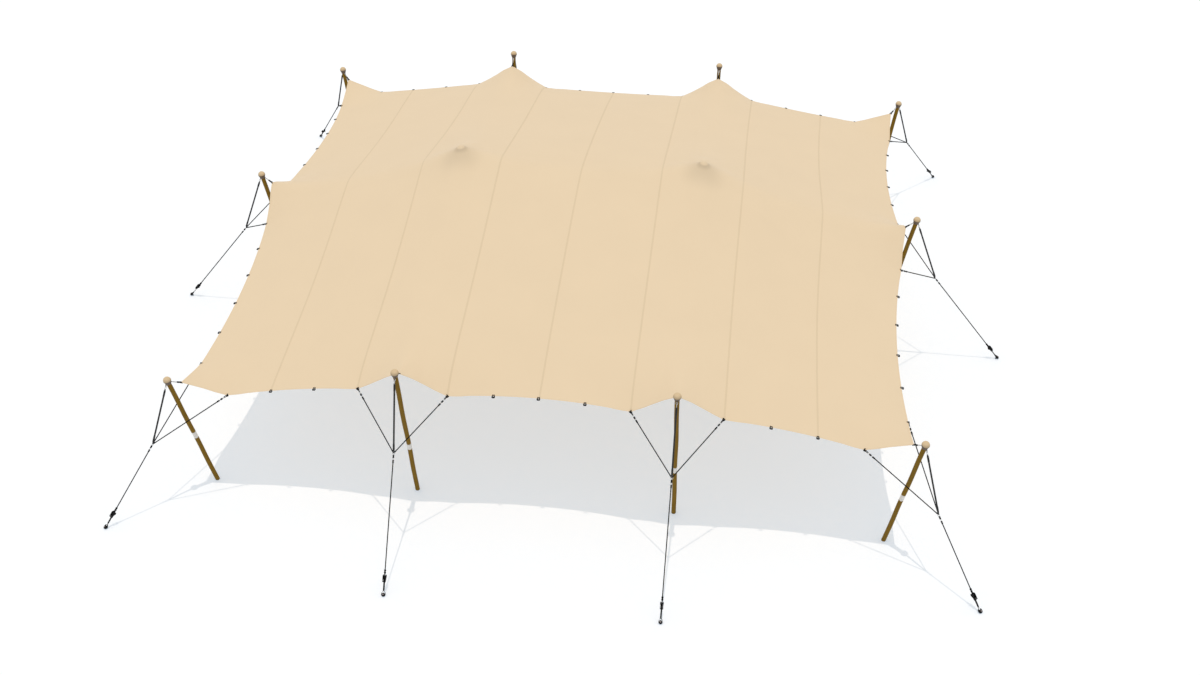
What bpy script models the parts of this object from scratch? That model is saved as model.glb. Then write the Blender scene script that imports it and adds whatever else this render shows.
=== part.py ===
"""Stretch tent with outward leaning poles, for Blender 4.5. Metres, +Z up, front towards -Y.

The canopy is a tensioned net in equilibrium between its pole tips, its guy points and two inner peaks.
Every other piece hangs on the places given at the top, and left, right, front and back mirror each other.
"""

import math

import bmesh
import bpy
import numpy as np
from mathutils import Matrix, Vector

# Canopy, which has an attachment point every pitch along all four edges
PITCH = 0.75
PITCHES_ACROSS = 16
PITCHES_DEEP = 14
CELLS_PER_PITCH = 2
CANOPY_THICKNESS = 0.008
STRIP_COUNT = 4
CORNER_TIP = (6.0, 5.25, 2.32)
CORNER_GUY_FRONT = (5.26, 5.21, 2.08)
CORNER_GUY_SIDE = (5.975, 4.47, 2.085)
END_TIP = (2.25, 5.245, 2.907)
END_GUY_OUTER = (3.0, 5.19, 2.45)
END_GUY_INNER = (1.5, 5.19, 2.455)
SIDE_TIP = (6.015, 0.0, 2.917)
SIDE_GUY = (5.96, 0.745, 2.46)
INNER_PEAK = (2.25, 0.0, 4.045)

# Pull in the net, as multiples of the pull in a plain thread
END_HEM_PULL = 28.0
SIDE_HEM_PULL = 31.0
RIDGE_PULL = 4.3
POLE_LINE_PULL = 5.5
PULL_BAND = 0.3

# Edge loops, which also carry the guys and the pole tips
LOOP_WIDTH = 0.024
LOOP_OUT = 0.022

# Poles and heads
CORNER_FOOT = (5.815, 5.14, 0.0)
CORNER_BALL = (6.15, 5.40, 2.472)
END_FOOT = (2.25, 4.945, 0.0)
END_BALL = (2.25, 5.455, 3.091)
SIDE_FOOT = (5.68, 0.0, 0.0)
SIDE_BALL = (6.193, 0.0, 3.077)
POLE_RADIUS = 0.039
SLEEVE_RADIUS = 0.038
CORNER_SLEEVE = 1.182
TALL_SLEEVE = 1.244
SLEEVE_LENGTH = 0.13
BALL_RADIUS = 0.066
COLLAR_FOOT_RADIUS = 0.0425
COLLAR_TOP_RADIUS = 0.0655
INNER_BALL_SLACK = 1.31
COLLAR_BOTTOM = 0.076
COLLAR_TOP = 0.004
EAR_RADIUS = 0.007
EAR_DOWN = 0.082
EAR_OUT = 0.052
EAR_BACK = 0.044
EAR_DROP = 0.022
TIP_LUG = 0.02
TIP_LINK_RADIUS = 0.006
TIP_STRAP_RADIUS = 0.011
TIP_STRAP_LENGTH = 0.06

# Guys
CORNER_JUNCTION = (6.496, 5.757, 1.33)
END_JUNCTION = (2.25, 5.992, 1.85)
SIDE_JUNCTION = (6.713, 0.0, 1.8045)
CORNER_STAKE = (7.299, 6.527)
END_STAKE = (2.25, 7.388)
SIDE_STAKE = (8.158, 0.0)
ROPE_RADIUS = 0.009
STAY_RADIUS = 0.0148
SHACKLE_RADIUS = 0.007
CLIP_RADIUS = 0.014
CLIP_LENGTH = 0.045
CLIP_NOSE_SHARE = 0.45
CLIP_WIDEST_AT = 0.4
LOWER_CLIP_LENGTH = 0.075
SHACKLE_LENGTH = 0.03
THIMBLE_RADIUS = 0.014
THIMBLE_LENGTH = 0.11
RING_RADIUS = 0.024
HOOK_RADIUS = 0.018
STAY_LINK = 0.05

# Stakes, and the straps and ratchets along each line from the stake up to the junction
STAKE_LEAN = math.radians(32)
STAKE_SHANK_RADIUS = 0.015
STAKE_END_RADIUS = 0.0185
STAKE_END_AT = 0.048
STAKE_LOOP_RADIUS = 0.024
STAKE_LOOP_WIDTH = 0.023
STRAP_WIDTH = 0.026
STRAP_THICKNESS = 0.006
STRAP_HEIGHT = 0.0235
RATCHET_START = 0.2
FRAME_LENGTH = 0.128
SPOOL_AT = 0.095
SPOOL_RADIUS = 0.009
FLANGE_RADIUS = 0.013
WEBBING_ROLL_RADIUS = 0.017
FRAME_PLATE_OUT = 0.0195
PLATE_THICKNESS = 0.003
HANDLE_PLATE_OUT = 0.0275
GUARD_RADIUS = 0.033
GRIP_REACH = 0.08
GRIP_RISE = 0.024
GRIP_RADIUS = 0.008
HOLE_CLEARANCE = 0.0008
HOOK_LENGTH = 0.085
SPOOL_END_OUT = 0.002
STRAP_PAST_STAKE = 0.008
NOSE_RADIUS = 0.009

# The ratchet frame's side plates, as (along the line, up from it)
FRAME_OUTLINE = (
    (0.0, -0.009),
    (0.06, -0.014),
    (0.112, -0.012),
    (FRAME_LENGTH, 0.0),
    (0.112, 0.012),
    (0.03, 0.009),
    (0.0, 0.009),
)
# The stake's hammered end, as (distance along it, share of its radius)
STAKE_END_SHAPE = ((0.005, 1.0), (0.01, 0.95), (0.013, 0.6))
# The knotted hook, as (share of its length, share of its radius)
HOOK_SHAPE = ((0.0, 0.5), (0.3, 1.0), (0.55, 0.53), (0.8, 1.0), (1.0, 0.5))

GAP = 0.0003
SUNK_IN = 0.001
POLE_SIDES = 12
TUBE_SIDES = 5
STRAP_SIDES = 6
RING_SIDES = 7
STAKE_SIDES = 8
LOOP_SIDES = 11
SPOOL_SIDES = 8

# Each kind of place on the edge, for the quarter with x and y positive, and its mirror signs by name
EDGE_PLACES = {
    "corner": {
        "foot": CORNER_FOOT,
        "ball": CORNER_BALL,
        "sleeve": CORNER_SLEEVE,
        "tip": CORNER_TIP,
        "guys": (CORNER_GUY_FRONT, CORNER_GUY_SIDE),
        "junction": CORNER_JUNCTION,
        "stake": CORNER_STAKE,
        "copies": {
            "front_left": (-1, -1),
            "front_right": (1, -1),
            "back_left": (-1, 1),
            "back_right": (1, 1),
        },
    },
    "end": {
        "foot": END_FOOT,
        "ball": END_BALL,
        "sleeve": TALL_SLEEVE,
        "tip": END_TIP,
        "guys": (END_GUY_OUTER, END_GUY_INNER),
        "junction": END_JUNCTION,
        "stake": END_STAKE,
        "copies": {
            "front_mid_left": (-1, -1),
            "front_mid_right": (1, -1),
            "back_mid_left": (-1, 1),
            "back_mid_right": (1, 1),
        },
    },
    "side": {
        "foot": SIDE_FOOT,
        "ball": SIDE_BALL,
        "sleeve": TALL_SLEEVE,
        "tip": SIDE_TIP,
        "guys": (SIDE_GUY, (SIDE_GUY[0], -SIDE_GUY[1], SIDE_GUY[2])),
        "junction": SIDE_JUNCTION,
        "stake": SIDE_STAKE,
        "copies": {"left_mid": (-1, 1), "right_mid": (1, 1)},
    },
}
STRIP_NAMES = ("canopy_far_left", "canopy_mid_left", "canopy_mid_right", "canopy_far_right")


def clear_scene():
    for obj in list(bpy.data.objects):
        bpy.data.objects.remove(obj, do_unlink=True)


def material(name, colour, roughness, metallic=0.0):
    made = bpy.data.materials.new(name)
    made.use_nodes = True
    shader = made.node_tree.nodes["Principled BSDF"]
    shader.inputs["Base Color"].default_value = (*colour, 1.0)
    shader.inputs["Roughness"].default_value = roughness
    shader.inputs["Metallic"].default_value = metallic
    return made


def show(name, mesh, finish, origin=(0.0, 0.0, 0.0)):
    """Adds the mesh to the scene as one named object whose origin is moved to the given point."""
    mesh.name = name
    mesh.transform(Matrix.Translation(-Vector(origin)))
    mesh.materials.clear()
    mesh.materials.append(finish)
    mesh.shade_smooth()
    mesh.set_sharp_from_angle(angle=math.radians(35))
    obj = bpy.data.objects.new(name, mesh)
    obj.location = origin
    bpy.context.scene.collection.objects.link(obj)
    return obj


def closed_mesh(points, faces):
    """A mesh of these points and faces with its faces turned outwards."""
    mesh = bpy.data.meshes.new("shape")
    mesh.from_pydata([tuple(point) for point in points], [], faces)
    shape = bmesh.new()
    shape.from_mesh(mesh)
    bmesh.ops.recalc_face_normals(shape, faces=shape.faces)
    shape.to_mesh(mesh)
    shape.free()
    return mesh


def cross_axes(direction):
    """Two unit vectors square to the direction and to each other, the first of them level."""
    level = Vector((0.0, 0.0, 1.0)).cross(direction)
    level = level.normalized() if level.length > 1e-6 else Vector((1.0, 0.0, 0.0))
    return level, direction.cross(level).normalized()


def turned(start, direction, profile, sides, on_floor=False):
    """A solid turned about a line. The profile lists (distance along the line, radius)."""
    direction = Vector(direction).normalized()
    first, second = cross_axes(direction)
    points = []
    for along, radius in profile:
        for k in range(sides):
            angle = math.tau * (k + 0.5) / sides
            out = first * math.cos(angle) + second * math.sin(angle)
            points.append(Vector(start) + direction * along + out * radius)
    if on_floor:
        for k in range(sides):
            points[k] -= direction * (points[k].z / direction.z)
    rings = len(profile)
    faces = [tuple(range(sides)), tuple(range((rings - 1) * sides, rings * sides))]
    for ring in range(rings - 1):
        for k in range(sides):
            low = ring * sides + k
            low_next = ring * sides + (k + 1) % sides
            faces.append((low, low_next, low_next + sides, low + sides))
    return closed_mesh(points, faces)


def bar(start, end, width, thickness, across):
    """A straight bar of rectangular section whose width runs along the vector across."""
    start, end = Vector(start), Vector(end)
    along = (end - start).normalized()
    across = (across - along * across.dot(along)).normalized()
    normal = along.cross(across)
    points = []
    for point in (start, end):
        for side, rise in ((-1, -1), (1, -1), (1, 1), (-1, 1)):
            points.append(point + across * (side * width / 2) + normal * (rise * thickness / 2))
    faces = [(0, 1, 2, 3), (4, 5, 6, 7), (0, 1, 5, 4), (1, 2, 6, 5), (2, 3, 7, 6), (3, 0, 4, 7)]
    return closed_mesh(points, faces)


def plate(outline, low, high, placed):
    """A flat plate of an outline in (along, up), from low to high across, put in place by a matrix."""
    points = [placed @ Vector((along, low, up)) for along, up in outline]
    points += [placed @ Vector((along, high, up)) for along, up in outline]
    count = len(outline)
    faces = [tuple(range(count)), tuple(range(count, 2 * count))]
    for k in range(count):
        after = (k + 1) % count
        faces.append((k, after, after + count, k + count))
    return closed_mesh(points, faces)


def combined(meshes, operation):
    """The first mesh joined with the others, or cut by them, as one closed mesh."""
    scene = bpy.context.scene.collection
    body = bpy.data.objects.new("body", meshes[0])
    scene.objects.link(body)
    tools = []
    for mesh in meshes[1:]:
        tool = bpy.data.objects.new("tool", mesh)
        tool.hide_render = True
        scene.objects.link(tool)
        step = body.modifiers.new("step", "BOOLEAN")
        step.operation = operation
        step.solver = "EXACT"
        step.object = tool
        tools.append(tool)
    result = bpy.data.meshes.new_from_object(body.evaluated_get(bpy.context.evaluated_depsgraph_get()))
    for obj in [body, *tools]:
        bpy.data.objects.remove(obj, do_unlink=True)
    return result


def mirrored(mesh, signs):
    """A copy of a mesh made for the quarter with x and y positive, in the quarter of these signs."""
    copy = mesh.copy()
    copy.transform(Matrix.Diagonal((signs[0], signs[1], 1, 1)))
    if signs[0] * signs[1] < 0:
        copy.flip_normals()
    return copy


def tensioned_net():
    """The middle surface of the canopy as rows of points from front to back.

    Threads run both ways and pull in proportion to their length. The hems pull hardest, and bands of
    stronger pull run along the ridge and from each front pole over an inner pole to the back one.
    """
    columns = PITCHES_ACROSS * CELLS_PER_PITCH
    rows = PITCHES_DEEP * CELLS_PER_PITCH
    cell = PITCH / CELLS_PER_PITCH
    index = np.arange((rows + 1) * (columns + 1)).reshape(rows + 1, columns + 1)
    held = {}
    fixed_points = (
        (8, 7, CORNER_TIP),
        (7, 7, CORNER_GUY_FRONT),
        (8, 6, CORNER_GUY_SIDE),
        (3, 7, END_TIP),
        (4, 7, END_GUY_OUTER),
        (2, 7, END_GUY_INNER),
        (8, 0, SIDE_TIP),
        (8, 1, SIDE_GUY),
        (3, 0, INNER_PEAK),
    )
    for pitches_x, pitches_y, (x, y, z) in fixed_points:
        for sign_x in (-1, 1):
            for sign_y in (-1, 1):
                row = rows // 2 + sign_y * pitches_y * CELLS_PER_PITCH
                column = columns // 2 + sign_x * pitches_x * CELLS_PER_PITCH
                held[index[row, column]] = (sign_x * x, sign_y * y, z)
    pull = np.zeros((index.size, index.size))

    def tie(one, other, strength):
        pull[one, one] += strength
        pull[other, other] += strength
        pull[one, other] -= strength
        pull[other, one] -= strength

    for row in range(rows + 1):
        from_ridge = (row - rows / 2) * cell
        strength = 1 + RIDGE_PULL * math.exp(-((from_ridge / PULL_BAND) ** 2))
        if row in (0, rows):
            strength = END_HEM_PULL
        for column in range(columns):
            tie(index[row, column], index[row, column + 1], strength)
    for column in range(columns + 1):
        from_pole_line = abs(column - columns / 2) * cell - INNER_PEAK[0]
        strength = 1 + POLE_LINE_PULL * math.exp(-((from_pole_line / PULL_BAND) ** 2))
        if column in (0, columns):
            strength = SIDE_HEM_PULL
        for row in range(rows):
            tie(index[row, column], index[row + 1, column], strength)

    fixed = np.array(sorted(held))
    free = np.setdiff1d(np.arange(index.size), fixed)
    points = np.zeros((index.size, 3))
    points[fixed] = [held[k] for k in fixed]
    loads = -pull[np.ix_(free, fixed)] @ points[fixed]
    points[free] = np.linalg.solve(pull[np.ix_(free, free)], loads)
    return points.reshape(rows + 1, columns + 1, 3)


def net_normals(net):
    """Upward unit normals of the net at its points."""
    across = np.gradient(net, axis=1)
    along = np.gradient(net, axis=0)
    normals = np.cross(across, along)
    return normals / np.linalg.norm(normals, axis=2, keepdims=True)


def rim_of(strip, rows, columns):
    """The net's nodes round one strip, anticlockwise from above."""
    first, last = strip * columns // STRIP_COUNT, (strip + 1) * columns // STRIP_COUNT
    rim = [(0, column) for column in range(first, last)]
    rim += [(row, last) for row in range(rows)]
    rim += [(rows, column) for column in range(last, first, -1)]
    rim += [(row, first) for row in range(rows, 0, -1)]
    return rim


def carries_loop(strip, node, rows, columns):
    """Whether a strip has a loop at this node of its rim.

    There is one at every pitch of the hems. One on a seam is sewn to the strip nearer an end pole.
    """
    row, column = node
    if row % CELLS_PER_PITCH or column % CELLS_PER_PITCH:
        return False
    if row not in (0, rows):
        return column in (0, columns)
    if column in (0, columns) or column % (columns // STRIP_COUNT):
        return True
    left_of_seam = column * STRIP_COUNT // columns - 1
    return strip == left_of_seam + (column < columns / 2)


def hem_loops(net):
    """For each strip, the two hem points that each loop is sewn between, by the loop's node."""
    rows, columns = net.shape[0] - 1, net.shape[1] - 1
    strips = []
    for strip in range(STRIP_COUNT):
        rim = rim_of(strip, rows, columns)
        loops = {}
        for k, node in enumerate(rim):
            if not carries_loop(strip, node, rows, columns):
                continue
            point = Vector(net[node])
            ways = []
            for other in (rim[k - 1], rim[(k + 1) % len(rim)]):
                along_seam = other[1] == node[1] and node[1] not in (0, columns)
                ways.append(Vector() if along_seam else (Vector(net[other]) - point).normalized())
            reach = LOOP_WIDTH / 2 if all(way.length for way in ways) else LOOP_WIDTH
            loops[node] = (point + ways[0] * reach, point + ways[1] * reach)
        strips.append(loops)
    return strips


def node_at(net, point):
    """The node of the net at this point."""
    distance = np.linalg.norm(net - np.array(point), axis=2)
    return tuple(int(k) for k in np.unravel_index(distance.argmin(), distance.shape))


def loop_middles(net, strips):
    """The middle of each loop's root, by its node."""
    return {node: (a + b) / 2 for loops in strips for node, (a, b) in loops.items()}


def loop_directions(net, middles):
    """The unit vector along each loop: to the junction at a guy, to the head at a tip, else out."""
    rows, columns = net.shape[0] - 1, net.shape[1] - 1
    directions = {}
    for row, column in middles:
        inner = (min(max(row, 1), rows - 1), min(max(column, 1), columns - 1))
        directions[row, column] = Vector(net[row, column] - net[inner]).normalized()
    for place in EDGE_PLACES.values():
        ends = [(guy, Vector(place["junction"])) for guy in place["guys"]]
        ends.append((place["tip"], beside_pole(place, TIP_LUG, 0.0)))
        for point, target in ends:
            direction = (target - middles[node_at(net, point)]).normalized()
            for signs in place["copies"].values():
                mirror = Matrix.Diagonal((*signs, 1))
                directions[node_at(net, mirror @ Vector(point))] = mirror @ direction
    return directions


def strip_mesh(net, normals, strip, loops, directions):
    """Two fabric panels of the canopy as one closed sheet with its loops."""
    rows, columns = net.shape[0] - 1, net.shape[1] - 1
    rim = rim_of(strip, rows, columns)
    first, last = rim[0][1], rim[0][1] + columns // STRIP_COUNT
    before = {}
    after = {}
    points = []
    ups = []
    for row in range(rows + 1):
        for column in range(first, last + 1):
            node = (row, column)
            ends = loops.get(node, (Vector(net[node]),))
            before[node] = len(points)
            after[node] = len(points) + len(ends) - 1
            for point in ends:
                points.append(point + Vector((GAP / 2 * ((column == first) - (column == last)), 0, 0)))
                ups.append(Vector(normals[node]) * (CANOPY_THICKNESS / 2))
    round_rim = {node: (rim[k - 1], rim[(k + 1) % len(rim)]) for k, node in enumerate(rim)}
    sheet = []
    for row in range(rows):
        for column in range(first, last):
            cell = [(row, column), (row, column + 1), (row + 1, column + 1), (row + 1, column)]
            face = []
            for node in cell:
                if node not in loops:
                    face.append(before[node])
                    continue
                face += [before[node]] * (round_rim[node][0] in cell)
                face += [after[node]] * (round_rim[node][1] in cell)
            sheet.append(tuple(face))
    for row, column in loops:
        inner = (min(max(row, 1), rows - 1), min(max(column, first + 1), last - 1))
        if row == inner[0] or column == inner[1]:
            sheet.append((before[row, column], after[row, column], before[inner]))

    under = len(points)
    corners = [point + up for point, up in zip(points, ups)]
    corners += [point - up for point, up in zip(points, ups)]
    faces = sheet + [tuple(under + k for k in reversed(face)) for face in sheet]
    for node in rim:
        start = after[node]
        finish = before[round_rim[node][1]]
        faces.append((start, finish, under + finish, under + start))
        if node not in loops:
            continue
        root = (before[node], after[node], under + after[node], under + before[node])
        tip = tuple(range(len(corners), len(corners) + 4))
        end = (loops[node][0] + loops[node][1]) / 2 + directions[node] * LOOP_OUT
        for k in root:
            corners.append(corners[k] + directions[node] * directions[node].dot(end - corners[k]))
        faces.append(tip)
        for k in range(4):
            near = (k + 1) % 4
            faces.append((root[k], root[near], tip[near], tip[k]))
    return closed_mesh(corners, faces)


def pole_mesh(foot, top, sleeve_middle):
    """A wooden pole in two halves, with the sleeve that joins them, cut level at the ground."""
    foot, top = Vector(foot), Vector(top)
    length = (top - foot).length - COLLAR_BOTTOM - GAP
    sleeve_low = sleeve_middle - SLEEVE_LENGTH / 2
    sleeve_high = sleeve_middle + SLEEVE_LENGTH / 2
    profile = (
        (0.0, POLE_RADIUS),
        (sleeve_low, POLE_RADIUS),
        (sleeve_low, SLEEVE_RADIUS),
        (sleeve_high, SLEEVE_RADIUS),
        (sleeve_high, POLE_RADIUS),
        (length, POLE_RADIUS),
    )
    return turned(foot, top - foot, profile, POLE_SIDES, on_floor=True)


def head_profile():
    """Collar and ball, measured up the pole from the ball's centre."""
    profile = [(-COLLAR_BOTTOM, COLLAR_FOOT_RADIUS), (-COLLAR_TOP, COLLAR_TOP_RADIUS)]
    for degrees in (8, 26, 44, 60, 76):
        angle = math.radians(degrees)
        profile.append((BALL_RADIUS * math.sin(angle), BALL_RADIUS * math.cos(angle)))
    return profile


def beside_pole(place, down, out):
    """A point this far down the pole from the ball's centre, and out from its axis on the junction's side."""
    ball = Vector(place["ball"])
    up_pole = (ball - Vector(place["foot"])).normalized()
    on_axis = ball - up_pole * down
    towards = Vector(place["junction"]) - on_axis
    return on_axis + (towards - up_pole * towards.dot(up_pole)).normalized() * out


def stay_line(place):
    """The middle of the collar's ear, and the unit vector from there along the stay."""
    ear = beside_pole(place, EAR_DOWN, EAR_OUT)
    return ear, (Vector(place["junction"]) - ear).normalized()


def edge_head_mesh(place, tip_end):
    """Ball and collar with an ear in line with the stay, and a link and strap to the canopy's tip."""
    ball, foot = Vector(place["ball"]), Vector(place["foot"])
    ear, stay = stay_line(place)
    lug = beside_pole(place, TIP_LUG, 0.0)
    reach = (tip_end - lug).length
    link_profile = (
        (0.0, TIP_LINK_RADIUS),
        (reach - TIP_STRAP_LENGTH, TIP_LINK_RADIUS),
        (reach - TIP_STRAP_LENGTH, TIP_STRAP_RADIUS),
        (reach, TIP_STRAP_RADIUS),
    )
    pieces = [
        turned(ball, ball - foot, head_profile(), POLE_SIDES),
        turned(ear, stay, ((-EAR_BACK, EAR_RADIUS), (EAR_DROP, EAR_RADIUS)), STRAP_SIDES),
        turned(lug, tip_end - lug, link_profile, STRAP_SIDES),
    ]
    return combined(pieces, "UNION")


def fitted_rope(start, end, clip_length, clip_radius):
    """A rope that starts with a clip, a shackle and a thimble, and ends just short of the given end."""
    direction = (end - start).normalized()
    thimble = clip_length + SHACKLE_LENGTH
    rope = thimble + THIMBLE_LENGTH
    profile = (
        (0.0, clip_radius * CLIP_NOSE_SHARE),
        (clip_length * CLIP_WIDEST_AT, clip_radius),
        (clip_length, SHACKLE_RADIUS),
        (thimble, SHACKLE_RADIUS),
        (thimble, THIMBLE_RADIUS),
        (rope, THIMBLE_RADIUS),
        (rope, ROPE_RADIUS),
        ((end - start).length - RING_RADIUS / 2, ROPE_RADIUS),
    )
    return turned(start, direction, profile, TUBE_SIDES)


def line_frame(place):
    """A matrix for the line from stake to junction: X runs up it, Y is level and Z faces up and out."""
    origin = Vector((*place["stake"], STRAP_HEIGHT))
    up_line = (Vector(place["junction"]) - origin).normalized()
    level = Vector((0.0, 0.0, 1.0)).cross(up_line).normalized()
    outward = up_line.cross(level).normalized()
    turn = Matrix((up_line, level, outward)).transposed().to_4x4()
    return Matrix.Translation(origin) @ turn


def guy_mesh(place, guy_ends):
    """The whole bridle: stay, two ropes from the canopy, junction ring, lower rope and its hook."""
    junction = Vector(place["junction"])
    ear, stay = stay_line(place)
    stay_start = ear + stay * (EAR_DROP + GAP)
    stay_length = (junction - stay_start).length - RING_RADIUS / 4
    stay_profile = (
        (0.0, SHACKLE_RADIUS),
        (STAY_LINK, SHACKLE_RADIUS),
        (STAY_LINK, STAY_RADIUS),
        (stay_length, STAY_RADIUS),
    )
    ring_angles = np.radians((-65, -22, 22, 65))
    ring = [(RING_RADIUS * math.sin(angle), RING_RADIUS * math.cos(angle)) for angle in ring_angles]
    pieces = [
        turned(stay_start, stay, stay_profile, STRAP_SIDES),
        turned(junction, Vector((0.0, 0.0, 1.0)), ring, RING_SIDES),
    ]
    pieces += [fitted_rope(end, junction, CLIP_LENGTH, CLIP_RADIUS) for end in guy_ends]

    placed = line_frame(place)
    up_line = placed.to_3x3() @ Vector((1.0, 0.0, 0.0))
    hook_low = RATCHET_START + FRAME_LENGTH + GAP
    hook_middle = placed @ Vector((hook_low + HOOK_LENGTH / 2, 0.0, 0.0))
    lower_start = junction - up_line * RING_RADIUS / 4
    pieces.append(fitted_rope(lower_start, hook_middle, LOWER_CLIP_LENGTH, THIMBLE_RADIUS))
    hook_profile = [(hook_low + HOOK_LENGTH * along, HOOK_RADIUS * radius) for along, radius in HOOK_SHAPE]
    pieces.append(turned(placed.translation, up_line, hook_profile, STRAP_SIDES))
    return combined(pieces, "UNION")


def anchor_mesh(place):
    """A leaning stake, the strap wound round it, and the ratchet's frame, spool and rolled webbing."""
    placed = line_frame(place)
    up_line = placed.to_3x3() @ Vector((1.0, 0.0, 0.0))
    level = placed.to_3x3() @ Vector((0.0, 1.0, 0.0))
    inward = Vector((up_line.x, up_line.y, 0.0)).normalized()
    lean = Vector((0.0, 0.0, 1.0)) * math.cos(STAKE_LEAN) - inward * math.sin(STAKE_LEAN)
    foot = placed.translation - lean * (STRAP_HEIGHT / lean.z)
    stake_profile = [(0.0, STAKE_SHANK_RADIUS), (STAKE_END_AT, STAKE_SHANK_RADIUS)]
    for along, share in STAKE_END_SHAPE:
        stake_profile.append((STAKE_END_AT + along, STAKE_END_RADIUS * share))
    loop_profile = [(side * STAKE_LOOP_WIDTH / 2, STAKE_LOOP_RADIUS) for side in (-1, 1)]
    frame_outline = [(RATCHET_START + along, up) for along, up in FRAME_OUTLINE]
    spool_out = HANDLE_PLATE_OUT + SPOOL_END_OUT
    flange_out = HANDLE_PLATE_OUT - PLATE_THICKNESS - GAP
    spool_profile = (
        (-spool_out, SPOOL_RADIUS),
        (-flange_out, SPOOL_RADIUS),
        (-flange_out, FLANGE_RADIUS),
        (flange_out, FLANGE_RADIUS),
        (flange_out, SPOOL_RADIUS),
        (spool_out, SPOOL_RADIUS),
    )
    spool = placed @ Vector((RATCHET_START + SPOOL_AT, 0.0, 0.0))
    roll_out = FRAME_PLATE_OUT - SUNK_IN
    roll_profile = ((-roll_out, WEBBING_ROLL_RADIUS), (roll_out, WEBBING_ROLL_RADIUS))
    nose_profile = ((0.0, NOSE_RADIUS), (FRAME_LENGTH - SPOOL_AT, NOSE_RADIUS))
    strap_start = placed.translation - up_line * STRAP_PAST_STAKE
    pieces = [
        turned(foot, lean, stake_profile, STAKE_SIDES, on_floor=True),
        turned(placed.translation, lean, loop_profile, LOOP_SIDES),
        bar(strap_start, spool, STRAP_WIDTH, STRAP_THICKNESS, level),
        plate(frame_outline, FRAME_PLATE_OUT - PLATE_THICKNESS, FRAME_PLATE_OUT, placed),
        plate(frame_outline, -FRAME_PLATE_OUT, -FRAME_PLATE_OUT + PLATE_THICKNESS, placed),
        turned(spool, level, spool_profile, SPOOL_SIDES),
        turned(spool, level, roll_profile, SPOOL_SIDES),
        turned(spool, up_line, nose_profile, STRAP_SIDES),
    ]
    return combined(pieces, "UNION")


def handle_mesh(place):
    """The ratchet's handle, closed: two plates outside the frame, and the grip between their ends."""
    placed = line_frame(place) @ Matrix.Translation((RATCHET_START + SPOOL_AT, 0.0, 0.0))
    level = placed.to_3x3() @ Vector((0.0, 1.0, 0.0))
    outline = []
    for degrees in range(-100, 101, 40):
        angle = math.radians(degrees)
        outline.append((GUARD_RADIUS * math.cos(angle), GUARD_RADIUS * math.sin(angle)))
    outline += [(-GRIP_REACH, GRIP_RISE + GRIP_RADIUS), (-GRIP_REACH - GRIP_RADIUS, GRIP_RISE)]
    outline += [(-GRIP_REACH, GRIP_RISE - GRIP_RADIUS)]
    inner = HANDLE_PLATE_OUT - PLATE_THICKNESS
    grip = placed @ Vector((-GRIP_REACH, 0.0, GRIP_RISE))
    grip_out = HANDLE_PLATE_OUT - SUNK_IN
    body = combined(
        [
            turned(grip, level, ((-grip_out, GRIP_RADIUS), (grip_out, GRIP_RADIUS)), STAKE_SIDES),
            plate(outline, inner, HANDLE_PLATE_OUT, placed),
            plate(outline, -HANDLE_PLATE_OUT, -inner, placed),
        ],
        "UNION",
    )
    hole_radius = (SPOOL_RADIUS + HOLE_CLEARANCE) / math.cos(math.pi / SPOOL_SIDES)
    hole_out = 2 * HANDLE_PLATE_OUT
    hole_profile = ((-hole_out, hole_radius), (hole_out, hole_radius))
    hole_cutter = turned(placed.translation, level, hole_profile, SPOOL_SIDES)
    return combined([body, hole_cutter], "DIFFERENCE"), placed.translation


def make_canopy(fabric):
    """Adds the strips, and gives the point just clear of each loop's end by the loop's node."""
    net = tensioned_net()
    normals = net_normals(net)
    strips = hem_loops(net)
    middles = loop_middles(net, strips)
    directions = loop_directions(net, middles)
    for strip, name in enumerate(STRIP_NAMES):
        show(name, strip_mesh(net, normals, strip, strips[strip], directions), fabric)
    ends = {node: middle + directions[node] * (LOOP_OUT + GAP) for node, middle in middles.items()}
    return net, ends


def make_edge_places(net, loop_ends, wood, metal, webbing, steel):
    for place in EDGE_PLACES.values():
        tip_end = loop_ends[node_at(net, place["tip"])]
        guy_ends = [loop_ends[node_at(net, guy)] for guy in place["guys"]]
        pole = pole_mesh(place["foot"], place["ball"], place["sleeve"])
        head = edge_head_mesh(place, tip_end)
        guy = guy_mesh(place, guy_ends)
        anchor = anchor_mesh(place)
        handle, pivot = handle_mesh(place)
        for name, signs in place["copies"].items():
            show("pole_" + name, mirrored(pole, signs), wood)
            show("pole_head_" + name, mirrored(head, signs), metal)
            show("guy_" + name, mirrored(guy, signs), webbing)
            show("anchor_" + name, mirrored(anchor, signs), steel)
            origin = (pivot.x * signs[0], pivot.y * signs[1], pivot.z)
            show("ratchet_handle_" + name, mirrored(handle, signs), steel, origin)


def make_inner_poles(wood, metal):
    """Upright poles whose balls press up into the two peaks.

    The cloth slopes down from the peak and meets the ball on its shoulder, so the ball's centre lies
    more than one radius below the peak.
    """
    x, y, peak = INNER_PEAK
    ball_centre = peak - CANOPY_THICKNESS - BALL_RADIUS * INNER_BALL_SLACK
    for name, sign in (("inner_left", -1), ("inner_right", 1)):
        foot = (sign * x, y, 0.0)
        ball = (sign * x, y, ball_centre)
        show("pole_" + name, pole_mesh(foot, ball, TALL_SLEEVE), wood)
        show("pole_head_" + name, turned(ball, (0.0, 0.0, 1.0), head_profile(), POLE_SIDES), metal)


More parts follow.
